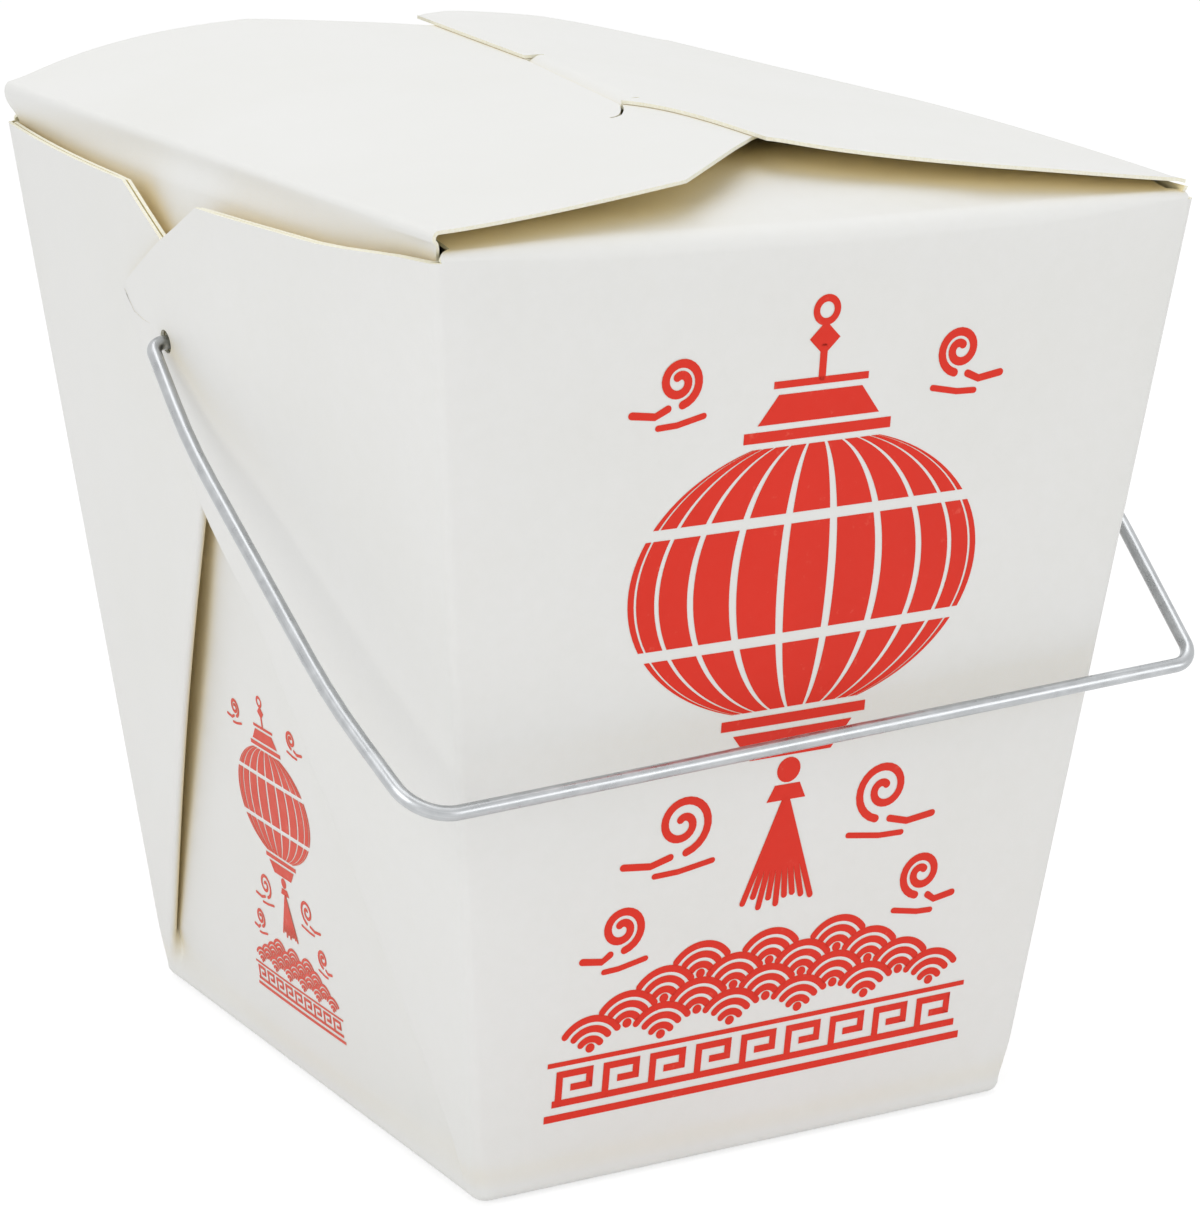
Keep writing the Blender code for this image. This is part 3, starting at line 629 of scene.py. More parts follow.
class Sheet:
    # rows of points, skinned into a sheet of board
    def __init__(self):
        self.points, self.faces = [], []

    def row(self, points):
        start = len(self.points)
        self.points += points
        return list(range(start, len(self.points)))

    def skin(self, low, high, turned=()):
        for i in range(len(low) - 1):
            quad = (low[i], low[i + 1], high[i + 1], high[i])
            self.faces.append(quad[1:] + quad[:1] if i in turned else quad)

    def make(self, name, outward):
        # a board of even thickness, coated outside, cream inside and on its cut edges;
        # outward is a spot on the coated side, and the way that side faces there
        mesh = bpy.data.meshes.new(name)
        mesh.from_pydata([(x * mm, y * mm, z * mm) for x, y, z in self.points], [], self.faces)
        bm = bmesh.new()
        bm.from_mesh(mesh)
        bmesh.ops.recalc_face_normals(bm, faces=bm.faces)
        bm.faces.ensure_lookup_table()
        probe, direction = outward
        near = min(bm.faces, key=lambda face: (face.calc_center_median() - Vector(probe) * mm).length)
        if near.normal.dot(Vector(direction)) < 0:
            bmesh.ops.reverse_faces(bm, faces=bm.faces)
        bm.to_mesh(mesh)
        bm.free()
        obj = addBoard(name, mesh)
        thick = obj.modifiers.new("board", 'SOLIDIFY')
        thick.thickness = p.board * mm
        thick.offset = 0.0
        thick.use_even_offset = True
        thick.thickness_clamp = 0.0
        thick.material_offset = 1
        thick.material_offset_rim = 2
        return obj


def addBoard(name, mesh):
    # slots: coated outside, bare inside, cut edge
    obj = addObject(name, mesh)
    for finish in ("coat", "inside", "edge"):
        mesh.materials.append(looks[finish])
    return obj


def settle(obj, angle=32):
    # applies the modifiers and shades smooth, with the cut edges kept sharp
    depsgraph = bpy.context.evaluated_depsgraph_get()
    mesh = bpy.data.meshes.new_from_object(obj.evaluated_get(depsgraph))
    obj.modifiers.clear()
    obj.data = mesh
    bm = bmesh.new()
    bm.from_mesh(mesh)
    limit = math.radians(angle)
    for edge in bm.edges:
        kinds = {face.material_index for face in edge.link_faces}
        sharp = len(edge.link_faces) == 2 and edge.calc_face_angle(0.0) > limit
        edge.smooth = not (sharp or len(kinds) > 1)
    for face in bm.faces:
        face.smooth = True
    bm.to_mesh(mesh)
    bm.free()


def cutter(name, outlines, low, high, turn=None):
    # a prism over flat outlines, used once and then removed
    bm = bmesh.new()
    for loop in outlines:
        bottom = [bm.verts.new((x * mm, y * mm, low * mm)) for x, y in loop]
        top = [bm.verts.new((x * mm, y * mm, high * mm)) for x, y in loop]
        bm.faces.new(bottom[::-1])
        bm.faces.new(top)
        for i in range(len(loop)):
            j = (i + 1) % len(loop)
            bm.faces.new((bottom[i], bottom[j], top[j], top[i]))
    bmesh.ops.recalc_face_normals(bm, faces=bm.faces)
    if turn is not None:
        bm.transform(turn)
    for face in bm.faces:
        face.material_index = 2                        # it leaves cut edges
    mesh = bpy.data.meshes.new(name)
    bm.to_mesh(mesh)
    bm.free()
    return addBoard(name, mesh)


def cut(obj, tools):
    for tool in tools:
        mod = obj.modifiers.new("cut", 'BOOLEAN')
        mod.operation = 'DIFFERENCE'
        mod.object = tool
    settle(obj)
    for tool in tools:
        bpy.data.objects.remove(tool)


def pailColumns():
    # the sheet's columns once round the pail: kind, side, end, place along and top
    cols = []

    def corner(sx, sy, order):
        for s in order:
            cols.append(("corner", sx, sy, s, cornerTop(sx, sy, s)))

    def wall(kind, s, count, order):
        for i in order:
            t = i / count
            top = p.height - creaseRadius(t) if kind == "end" else gussetZ
            cols.append((kind, s, None, t, top))

    forward = list(range(stations))
    ends, sides = range(1, fine["end"]), range(1, fine["side"])
    wall("end", -1, fine["end"], ends)
    corner(1, -1, forward)
    wall("side", 1, fine["side"], sides)
    corner(1, 1, forward[::-1])
    wall("end", 1, fine["end"], ends[::-1])
    corner(-1, 1, forward)
    wall("side", -1, fine["side"], sides[::-1])
    corner(-1, -1, forward[::-1])
    return cols


def columnPoint(col, z):
    kind, s, sy, key, _ = col
    if kind == "end":
        return endWallPoint(s, key, z)
    if kind == "side":
        return sideWallPoint(s, key, z)
    return cornerPoint(s, sy, key, z)


def footPoint(col, angle):
    x, y, _ = columnPoint(col, footZ)
    inset = p.baseBend * (1 - math.sin(angle))
    z = p.board / 2 + p.baseBend * (1 - math.cos(angle))
    cx, cy = sidePlane(footZ) - p.footCornerR, endPlane(footZ) - p.footCornerR
    dx, dy = max(abs(x) - cx, 0.0), max(abs(y) - cy, 0.0)
    if dx > 0 and dy > 0:
        keep = 1 - inset / math.hypot(dx, dy)
        return math.copysign(cx + dx * keep, x), math.copysign(cy + dy * keep, y), z
    if dx > 0:
        return math.copysign(abs(x) - inset, x), y, z
    return x, math.copysign(abs(y) - inset, y), z


def creaseRadius(t):
    # small at the wall's corners and full from a fifth of its width
    return mix(p.gussetTop, p.dustCreaseR, smooth(min(t, 1 - t) / p.creaseGrow))


def dustHalf(depth):
    start = sidePlane(p.height) - p.cornerR
    clear = sidePlane(p.height) - 2 * p.layer - p.board - p.dustSidePlay
    half = mix(start, clear, smooth(depth / p.dustNeck))
    return half - p.dustTaper * eased(depth, p.dustTaperFrom, p.dustDepth - p.dustTaperFrom)


def dustRow(sy, k):
    out = []
    for i in range(fine["end"] + 1):
        t = i / fine["end"]
        r = creaseRadius(t)
        if k < fine["dustArc"]:
            turn = math.pi / 2 * (k + 1) / fine["dustArc"]
            depth, lift = r * (1 - math.cos(turn)), r * math.sin(turn)
        else:
            down = ((k + 1 - fine["dustArc"]) / fine["dustRows"]) ** p.dustRowCurve
            depth, lift = mix(r, p.dustDepth, down), r
        half = dustHalf(depth)
        x = mix(-half, half, t)
        crown = (1 - abs(x / half) ** p.dustCrownCurve) * smooth(depth / p.dustCrown) * p.dustRise
        settled = smooth(depth / p.dustSettle)
        side = p.dustLift * settled
        swell = endWallPoint(sy, t, p.height - r)[1]
        y = mix(swell, sy * endPlane(p.height - r), settled) - sy * depth
        out.append((x, y, p.height - r + lift + crown + side))
    return out


def slotFlapRows(sheet, previous):
    at, wide = p.slotFlapShoulder
    widths = [(-creaseX, endPlane(lidZ) - p.slotFlapIn), (at, wide * endPlane(p.height)),
              p.slotFlapNeck]
    widths += [(p.slotFlapReach + back, half) for back, half in p.slotFlapTip]
    inner = -creaseX + p.lidCreaseR
    turns = (math.pi / 2 * k / fine["lidArc"] for k in range(1, fine["lidArc"] + 1))
    rows = [(-creaseX + p.lidCreaseR * (1 - math.cos(a)), a) for a in turns]
    rows += [(mix(inner, p.slotFlapReach, i / fine["lidRows"]), None)
             for i in range(1, fine["lidRows"] + 1)]
    for x, a in rows:
        half = halfWidth(widths, x)
        line = []
        for i in range(fine["side"] + 1):
            y = mix(-half, half, i / fine["side"])
            z = lidHeight(x, y)
            if a is not None:
                z = mix(lidZ - p.lidCreaseR, lidHeight(inner, y), math.sin(a))
            line.append((x, y, z))
        current = sheet.row(line)
        sheet.skin(previous, current)
        previous = current


def liftCorner(x, y, z):
    # the front wall stands a little higher at its left corner
    level = eased(z, *p.liftZ) * (1 - eased(z, *p.liftEndZ))
    return x, y, z + p.cornerLift * eased(-x, *p.liftX) * eased(-y, *p.liftY) * level


def buildPailBoard():
    sheet = Sheet()
    cols = pailColumns()
    turned = {i for i, c in enumerate(cols) if c[0] == "corner" and parts[c[3]][0] == 3}
    start = footZ + p.foldHeight + p.rowGap
    rings = [sheet.row([footPoint(c, math.pi / 2 * k / fine["footRows"]) for c in cols])
             for k in range(fine["footRows"])]
    rings += [sheet.row([columnPoint(c, footZ + p.foldHeight * k / fine["lowRows"]) for c in cols])
              for k in range(fine["lowRows"] + 1)]
    rings += [sheet.row([columnPoint(c, mix(start, c[4], k / fine["highRows"])) for c in cols])
              for k in range(fine["highRows"] + 1)]
    sheet.faces.append(tuple(rings[0]))
    for low, high in zip(rings, rings[1:]):
        sheet.skin(low + [low[0]], high + [high[0]], turned)
    index = {c[:4]: rings[-1][i] for i, c in enumerate(cols)}

    for sy in (-1, 1):                                 # dust flaps grow from the end walls
        previous = [index[("corner", -1, sy, 0)]]
        previous += [index[("end", sy, None, i / fine["end"])] for i in range(1, fine["end"])]
        previous.append(index[("corner", 1, sy, 0)])
        for k in range(fine["dustArc"] + fine["dustRows"]):
            current = sheet.row(dustRow(sy, k))
            sheet.skin(previous, current)
            previous = current

    for sx in (-1, 1):                                 # side walls go on past their gussets
        previous = [index[("corner", sx, -1, stations - 1)]]
        previous += [index[("side", sx, None, i / fine["side"])] for i in range(1, fine["side"])]
        previous.append(index[("corner", sx, 1, stations - 1)])
        end = tabZ - p.board / 2 - p.hingeGap if sx > 0 else lidZ - p.lidCreaseR
        for k in range(1, fine["headRows"] + 1):
            up = k / fine["headRows"]
            z = mix(gussetZ, end, up)
            line = [sideWallPoint(sx, i / fine["side"], z) for i in range(fine["side"] + 1)]
            if sx > 0:
                line = [(x - p.frontTuck * droop(y) * smooth(up), y, z - p.frontDroop * droop(y) * up)
                        for x, y, z in line]
            current = sheet.row(line)
            sheet.skin(previous, current)
            previous = current
        if sx < 0:
            slotFlapRows(sheet, previous)

    sheet.points = [liftCorner(*q) for q in sheet.points]
    board = sheet.make("pailBoard", ((0, -endPlane(50), 50), (0, -1, 0)))
    tall = lidHeight(flapEdge(p.tabMid) + p.slotWide / 2, p.tabMid)
    front, rear = p.tabMid - p.tabHalf - p.slotPlay, p.tabMid + p.tabHalf + p.slotPlay
    slot = [(p.frontEdgeIn, front), (p.frontEdgeIn + p.slotWide, front),
            (p.rearEdgeIn + p.slotWide, rear), (p.rearEdgeIn, rear)]
    below, above = p.nickCut
    tools = [cutter("slot", [slot], tall - p.slotCut, tall + p.slotCut),
             cutter("nick", [ribbon(p.nick, p.nickWide)], tall - below, tall + above)]
    for sx in (-1, 1):
        ring = arc(0, 0, p.holeR, 0, 360, fine["hole"])[:-1]
        lay = Matrix.Translation((sx * p.holeCutX * mm, 0, p.holeZ * mm))
        lay = lay @ Matrix.Rotation(math.pi / 2, 4, 'Y')
        tools.append(cutter("hole", [ring], -p.holeCut, p.holeCut, lay))
    cut(board, tools)
    return board


def arc(cx, cy, r, start, end, n=16):
    turns = [math.radians(mix(start, end, k / n)) for k in range(n + 1)]
    return [(cx + r * math.cos(a), cy + r * math.sin(a)) for a in turns]


def ribbon(points, width):
    # the outline of a stroke of even width with round ends
    pts = [Vector(q) for q in points]
    left, right = [], []
    for i, q in enumerate(pts):
        ahead = pts[min(i + 1, len(pts) - 1)] - pts[max(i - 1, 0)]
        side = Vector((-ahead.y, ahead.x)).normalized() * width / 2
        left.append(q + side)
        right.append(q - side)

    def cap(q, a, b):
        start, out = a - q, []
        for k in range(1, 6):
            out.append(q + Matrix.Rotation(-math.pi * k / 6, 2) @ start)
        return out
    loop = left + cap(pts[-1], left[-1], right[-1]) + right[::-1] + cap(pts[0], right[0], left[0])
    return [(q.x, q.y) for q in loop]


def buildTabFlap():
    hingeX, dive = creaseX - p.hingeIn, p.slotWide + p.dive
    widths = p.tabFlapWidths + [(creaseX, endPlane(tabZ) - p.tabFlapIn)]
    last = fine["tabFlapRows"]
    # each row: distance from the free edge, share of the way to the hinge
    runs = [(dive, 1 - i / last) for i in range(last + 1)]
    runs += [(mix(dive - p.diveStep, 0, i / fine["divingRows"]), 0.0)
             for i in range(fine["divingRows"] + 1)]
    shoulder, tab = np.linspace(1, 0, fine["shoulder"]), np.linspace(-1, 1, fine["tab"])
    near = p.tabHalf + p.slit
    sheet = Sheet()
    rows = []
    for n, (run, toHinge) in enumerate(runs):
        half = halfWidth(widths, mix(-1 + run, hingeX, toHinge))
        sides = ([mix(p.tabMid - near, -half, v) for v in shoulder],
                 [p.tabMid + p.tabHalf * v for v in tab],
                 [mix(p.tabMid + near, half, v) for v in shoulder[::-1]])
        row = []
        for part, dives in zip(sides, (False, True, False)):
            line = []
            for y in part:
                x = mix(flapEdge(y) + run, hingeX - p.frontTuck * droop(y), toHinge)
                hinge = tabZ - p.frontDroop * droop(y)
                line.append((x, y, hinge if n == 0 else tabFlapHeight(x, y, dives)))
            row.append(sheet.row(line))
        rows.append(row)
    for i, (upper, lower) in enumerate(zip(rows, rows[1:])):
        for low, high in zip(upper, lower):
            sheet.skin(low, high)
        if i < last:                                   # past these the tab is cut free
            for k in (0, 1):
                sheet.faces.append((upper[k][-1], upper[k + 1][0], lower[k + 1][0], lower[k][-1]))
    previous = rows[-1][1]
    for t in np.linspace(0, 1, fine["tabRows"] + 1)[1:]:
        half = p.tabHalf * (1 - p.tabTaper * max((t - 0.5) / 0.5, 0.0) ** 2)
        spots = [(flapEdge(p.tabMid + half * v) - p.tabReach * t, p.tabMid + half * v) for v in tab]
        current = sheet.row([(x, y, lidHeight(x, y) - p.flapPlay) for x, y in spots])
        sheet.skin(previous, current)
        previous = current
    flap = sheet.make("lidTabFlap", ((25, 0, 116), (0, 0, 1)))
    settle(flap)
    return flap


# the wire bail, in millimetres and degrees; its arms' lengths are from the holes
wire = {
    "radius": 0.82, "sides": 20, "tip": 0.4, "tipShare": 0.62,
    "hingeZ": 90.5, "hangAngle": 35.2, "overLidLeft": 8.63, "overLidRight": 4.84,
    "barLeft": 48.3, "barRight": 52.0, "armX": 53.0, "bowX": 54.08,
    "insideX": 44.5, "hook": 7.0, "draw": 2.0, "flick": 0.6,
    "leftBows": (0.22, 0.76), "rightBows": (0.66, 0.24),         # shares of each arm
    "elbow": 1.7, "leftBends": (90, 85, 5.5), "rightBends": (3.2, 50, 90), "bendStep": 0.08,
}


def roundPath(points, radii, step):
    # rounds each corner of a path to its radius, in steps of about that angle
    pts = [np.array(q, float) for q in points]
    out = [pts[0]]
    for i in range(1, len(pts) - 1):
        a, b, c = pts[i - 1], pts[i], pts[i + 1]
        u, v = (a - b) / np.linalg.norm(a - b), (c - b) / np.linalg.norm(c - b)
        bend = math.pi - math.acos(max(-1.0, min(1.0, float(u @ v))))
        if bend < 0.02:
            out.append(b)
            continue
        r = radii[i]
        start, end = b + u * r * math.tan(bend / 2), b + v * r * math.tan(bend / 2)
        centre = b + (u + v) / np.linalg.norm(u + v) * (r / math.cos(bend / 2))
        n = max(3, int(math.ceil(bend / step)))
        for k in range(n + 1):
            t = k / n
            out.append(centre + (math.sin((1 - t) * bend) * (start - centre)
                                 + math.sin(t * bend) * (end - centre)) / math.sin(bend))
    out.append(pts[-1])
    return out


def wirePath():
    w = SimpleNamespace(**wire)
    corner = math.hypot(endPlane(lidZ), lidZ - w.hingeZ)
    down = math.radians(w.hangAngle)

    def at(x, d):
        return (x, -math.cos(down) * d, w.hingeZ - math.sin(down) * d)

    left, right = corner + w.overLidLeft, corner + w.overLidRight
    points = [at(-w.insideX, w.hook), at(-w.insideX, 0), at(-w.armX, 0),
              at(-w.bowX, w.leftBows[0] * left), at(-w.bowX + w.draw, w.leftBows[1] * left),
              at(-w.barLeft - w.flick, left), at(w.barRight, right),
              at(w.bowX, w.rightBows[0] * right), at(w.bowX, w.rightBows[1] * right),
              at(w.armX, 0), at(w.insideX, 0), at(w.insideX, w.hook)]
    radii = [0, w.elbow, w.elbow, *w.leftBends, *w.rightBends, w.elbow, w.elbow, 0]
    return roundPath(points, radii, w.bendStep)


def wireTree():
    t = Tree("wireAlongPath", [("Wire Radius", 'Float', 0.00082), ("Sides", 'Int', 20),
                               ("Tip", 'Float', 0.0004), ("Tip Share", 'Float', 0.62),
                               ("Material", 'Material', None)])
    curve = t.do('GeometryNodeMeshToCurve', {"Mesh": t.inputs["Geometry"]})
    place = t.node('GeometryNodeSplineParameter').outputs
    total = t.do('GeometryNodeSplineLength')
    fromEnd = t.maths('MINIMUM', place["Length"], t.maths('SUBTRACT', total, place["Length"]))
    rounded = t.do('ShaderNodeMapRange', {"Value": fromEnd, "From Min": 0.0,
                                          "From Max": t.inputs["Tip"],
                                          "To Min": t.inputs["Tip Share"], "To Max": 1.0})
    ring = t.do('GeometryNodeCurvePrimitiveCircle', {"Resolution": t.inputs["Sides"],
                                                     "Radius": t.inputs["Wire Radius"]})
    marked = [t.do('GeometryNodeStoreNamedAttribute', {"Geometry": line, "Name": name,
                                                       "Value": place["Factor"]},
                   data_type='FLOAT', domain='POINT')
              for line, name in ((curve, "along"), (ring, "around"))]
    tube = t.do('GeometryNodeCurveToMesh', {"Curve": marked[0], "Profile Curve": marked[1],
                                            "Scale": rounded, "Fill Caps": True})
    return t.end(t.do('GeometryNodeSetShadeSmooth', {"Geometry": tube}))


def pathMesh(name, points):
    mesh = bpy.data.meshes.new(name)
    mesh.from_pydata([tuple(q) for q in points], [(i, i + 1) for i in range(len(points) - 1)], [])
    return mesh


def buildBail():
    pts = [np.array(q) * mm for q in wirePath()]
    tip = wire["tip"] * mm
    first, last = pts[1] - pts[0], pts[-2] - pts[-1]
    pts.insert(1, pts[0] + first / np.linalg.norm(first) * tip)
    pts.insert(-1, pts[-1] + last / np.linalg.norm(last) * tip)
    sizes = {"Wire Radius": wire["radius"] * mm, "Sides": wire["sides"], "Tip": tip,
             "Tip Share": wire["tipShare"], "Material": looks["wire"]}
    bail = grow("bailWire", wireTree(), sizes, pathMesh("bailPath", pts))
    settle(bail, 50)
    return bail


# the print: lantern, tassel, clouds, waves and key fret, in millimetres
art = {
    "lantern": {"gores": 11, "halfWidth": 22.0, "halfHeight": 15.0, "middle": 69.5, "gap": 0.16,
                "closing": 1.2},
    "waves": {"radius": 4.45, "across": 6, "rows": 4, "foot": 16.6, "line": 0.85},
    "fret": {"count": 9, "pitch": 5.9, "foot": 10.4, "height": 4.4, "line": 0.85},
    "strands": {"count": 9, "length": 13.5, "line": 0.75, "start": -0.34, "sweep": 0.765,
                "uneven": 0.12, "stagger": 0.003, "seed": 4},
    # each cloud: across, up, its curl's radius and how far its line trails
    "clouds": [(13.0, 42.5, 3.6, 6.0), (19.5, 31.0, 2.7, 3.6), (17.5, 93.0, 2.6, 4.5)],
    "borders": [(8.6, 9.5), (15.4, 16.0)], "borderHalf": 27.4,
    "lift": 0.035, "smallScale": 0.43, "foot": 8.6, "layer": 0.004, "longestEdge": 2.5,
}


def flatMesh(name, groups):
    # flat shapes, each a list of outlines: the first is the shape, the others are holes
    mesh = bpy.data.meshes.new(name)
    points, faces = [], []
    for loops in groups:
        start = len(points)
        flat = [Vector((x, y, 0)) for loop in loops for x, y in loop]
        points += [tuple(q) for q in flat]
        tris = tessellate_polygon([[Vector((x, y, 0)) for x, y in loop] for loop in loops])
        faces += [tuple(start + i for i in tri) for tri in tris]
    mesh.from_pydata(points, [], faces)
    return mesh


def motif(name, groups):
    return addObject(name, flatMesh(name, groups))


def goreTree():
    # a round lantern's gores, drawn by where each meridian lies
    t = Tree("lanternGores", [("Gores", 'Int', 11), ("Half Width", 'Float', 20.0),
                              ("Half Height", 'Float', 15.0), ("Gap", 'Float', 0.15),
                              ("Closing Angle", 'Float', 1.2), ("Material", 'Material', None)])
    width = t.maths('SUBTRACT', 1.0, t.inputs["Gap"])
    pieces = []
    for low, high in ((-1.0, -0.40), (-0.33, 0.33), (0.40, 1.0)):
        cell = t.do('GeometryNodeMeshGrid', {"Size X": width, "Size Y": high - low,
                                             "Vertices X": 5, "Vertices Y": 15})
        middle = (0, (low + high) / 2, 0)
        pieces.append(t.do('GeometryNodeTransform', {"Geometry": cell, "Translation": middle}))
    cell = t.node('GeometryNodeJoinGeometry')
    for piece in pieces:
        t.tree.links.new(piece, cell.inputs[0])
    line = t.do('GeometryNodeMeshLine', {"Count": t.inputs["Gores"], "Offset": (1, 0, 0)},
                mode='OFFSET')
    spread = t.do('GeometryNodeInstanceOnPoints', {"Points": line, "Instance": cell.outputs[0]})
    real = t.do('GeometryNodeRealizeInstances', {"Geometry": spread})
    place = t.node('ShaderNodeSeparateXYZ', {0: t.do('GeometryNodeInputPosition')})
    across = t.maths('DIVIDE', t.maths('ADD', place.outputs[0], 0.5), t.inputs["Gores"])
    meridian = t.maths('SUBTRACT', t.maths('MULTIPLY', across, math.pi), math.pi / 2)
    level = t.maths('MULTIPLY', place.outputs[1], t.inputs["Closing Angle"])
    wide = t.maths('MULTIPLY', t.maths('SINE', meridian), t.maths('COSINE', level))
    tall = t.maths('DIVIDE', t.maths('SINE', level), t.maths('SINE', t.inputs["Closing Angle"]))
    x = t.maths('MULTIPLY', wide, t.inputs["Half Width"])
    y = t.maths('MULTIPLY', tall, t.inputs["Half Height"])
    put = t.do('ShaderNodeCombineXYZ', {0: x, 1: y, 2: 0.0})
    return t.end(t.do('GeometryNodeSetPosition', {"Geometry": real, "Position": put}))


def rowTree():
    # a motif in rows; each row starts a step in, and may be shorter than the one below
    t = Tree("motifInRows", [("Motif", 'Object', None), ("Across", 'Int', 6), ("Rows", 'Int', 4),
                             ("Pitch", 'Float', 9.0), ("Rise", 'Float', 2.2),
                             ("Step In", 'Float', 4.5), ("Material", 'Material', None)])
    shape = t.node('GeometryNodeObjectInfo', {"Object": t.inputs["Motif"]}).outputs["Geometry"]
    last = t.maths('SUBTRACT', t.inputs["Across"], 1.0)
    levels = t.maths('SUBTRACT', t.inputs["Rows"], 1.0)
    grid = t.do('GeometryNodeMeshGrid', {"Size X": last,
                                         "Size Y": t.maths('MAXIMUM', levels, 0.001),
                                         "Vertices X": t.inputs["Across"],
                                         "Vertices Y": t.inputs["Rows"]})
    place = t.node('ShaderNodeSeparateXYZ', {0: t.do('GeometryNodeInputPosition')})
    row = t.maths('ADD', place.outputs[1], t.maths('DIVIDE', levels, 2.0))
    stepIn = t.maths('MULTIPLY', row, t.inputs["Step In"])
    lost = t.maths('DIVIDE', t.maths('MULTIPLY', stepIn, 2.0), t.inputs["Pitch"])
    room = t.maths('ADD', t.maths('SUBTRACT', t.maths('DIVIDE', last, 2.0), lost), 0.01)
    beyond = t.do('FunctionNodeCompare', {0: place.outputs[0], 1: room}, data_type='FLOAT',
                  operation='GREATER_THAN')
    kept = t.do('GeometryNodeDeleteGeometry', {"Geometry": grid, "Selection": beyond})
    put = t.do('ShaderNodeCombineXYZ', {
        0: t.maths('ADD', t.maths('MULTIPLY', place.outputs[0], t.inputs["Pitch"]), stepIn),
        1: t.maths('MULTIPLY', row, t.inputs["Rise"]), 2: 0.0})
    moved = t.do('GeometryNodeSetPosition', {"Geometry": kept, "Position": put})
    laid = t.do('GeometryNodeInstanceOnPoints', {"Points": moved, "Instance": shape})
    return t.end(laid)


def roundTree():
    # a motif repeated round a centre, and fanned if the sweep is short
    t = Tree("motifRound", [("Motif", 'Object', None), ("Count", 'Int', 12), ("Start", 'Float', 0.0),
                            ("Sweep", 'Float', 2 * math.pi), ("Uneven", 'Float', 0.0),
                            ("Stagger", 'Vector', (0, 0, 0)), ("Seed", 'Int', 1),
                            ("Material", 'Material', None)])
    shape = t.node('GeometryNodeObjectInfo', {"Object": t.inputs["Motif"]}).outputs["Geometry"]
    line = t.do('GeometryNodeMeshLine', {"Count": t.inputs["Count"], "Offset": t.inputs["Stagger"]},
                mode='OFFSET')
    place = t.maths('DIVIDE', t.do('GeometryNodeInputIndex'), t.inputs["Count"])
    angle = t.maths('ADD', t.maths('MULTIPLY', place, t.inputs["Sweep"]), t.inputs["Start"])
    turn = t.do('ShaderNodeCombineXYZ', {0: 0.0, 1: 0.0, 2: angle})
    low = t.maths('SUBTRACT', 1.0, t.inputs["Uneven"])
    size = t.node('FunctionNodeRandomValue', {2: low, 3: 1.0, "Seed": t.inputs["Seed"]},
                  data_type='FLOAT')
    scale = t.do('ShaderNodeCombineXYZ', {0: 1.0, 1: size.outputs[1], 2: 1.0})
    laid = t.do('GeometryNodeInstanceOnPoints', {"Points": line, "Instance": shape,
                                                 "Rotation": turn, "Scale": scale})
    return t.end(laid)


def ringShape(cx, cy, outer, inner):
    return [arc(cx, cy, outer, 0, 360, 36)[:-1], arc(cx, cy, inner, 0, 360, 36)[:-1]]


def box(x0, y0, x1, y1):
    return [[(x0, y0), (x1, y0), (x1, y1), (x0, y1)]]


def spiral(cx, cy, r0, r1, start, turns, side, n=40):
    out = []
    for k in range(n + 1):
        r, a = mix(r0, r1, k / n), math.radians(start) + 2 * math.pi * turns * k / n
        out.append((cx + side * r * math.cos(a), cy + r * math.sin(a)))
    return out


def waveMotif(radius, line):
    # one scallop of nested arcs, each cut where its neighbours cover it
    groups = []
    for k in (1.0, 0.72, 0.44):
        rho = radius * k - line / 2
        q = rho / radius
        meet = math.acos(min((q * q + 0.25) / (q * math.sqrt(5)), 1.0))
        start = math.degrees(meet - math.atan(0.5))
        groups.append([ribbon(arc(0, 0, rho, start + 4, 176 - start, 20), line)])
    groups.append([arc(0, 0.10 * radius, 0.13 * radius, 0, 360, 14)[:-1]])
    return motif("wave", groups)


def fretMotif(pitch, height, line):
    # one turn of the key: a square hook on a base line
    h, w, s = height, pitch, line
    g = (h - 3 * s) / 2 + s
    return motif("key", [box(-w / 2, 0, w / 2, s), box(-w / 2 + s * 0.4, 0, -w / 2 + s * 1.4, h),
                         box(-w / 2 + s * 0.4, h - s, w / 2 - s * 1.1, h),
                         box(w / 2 - s * 2.1, g, w / 2 - s * 1.1, h),
                         box(-w / 2 + s * 2.6, g, w / 2 - s * 1.1, g + s)])


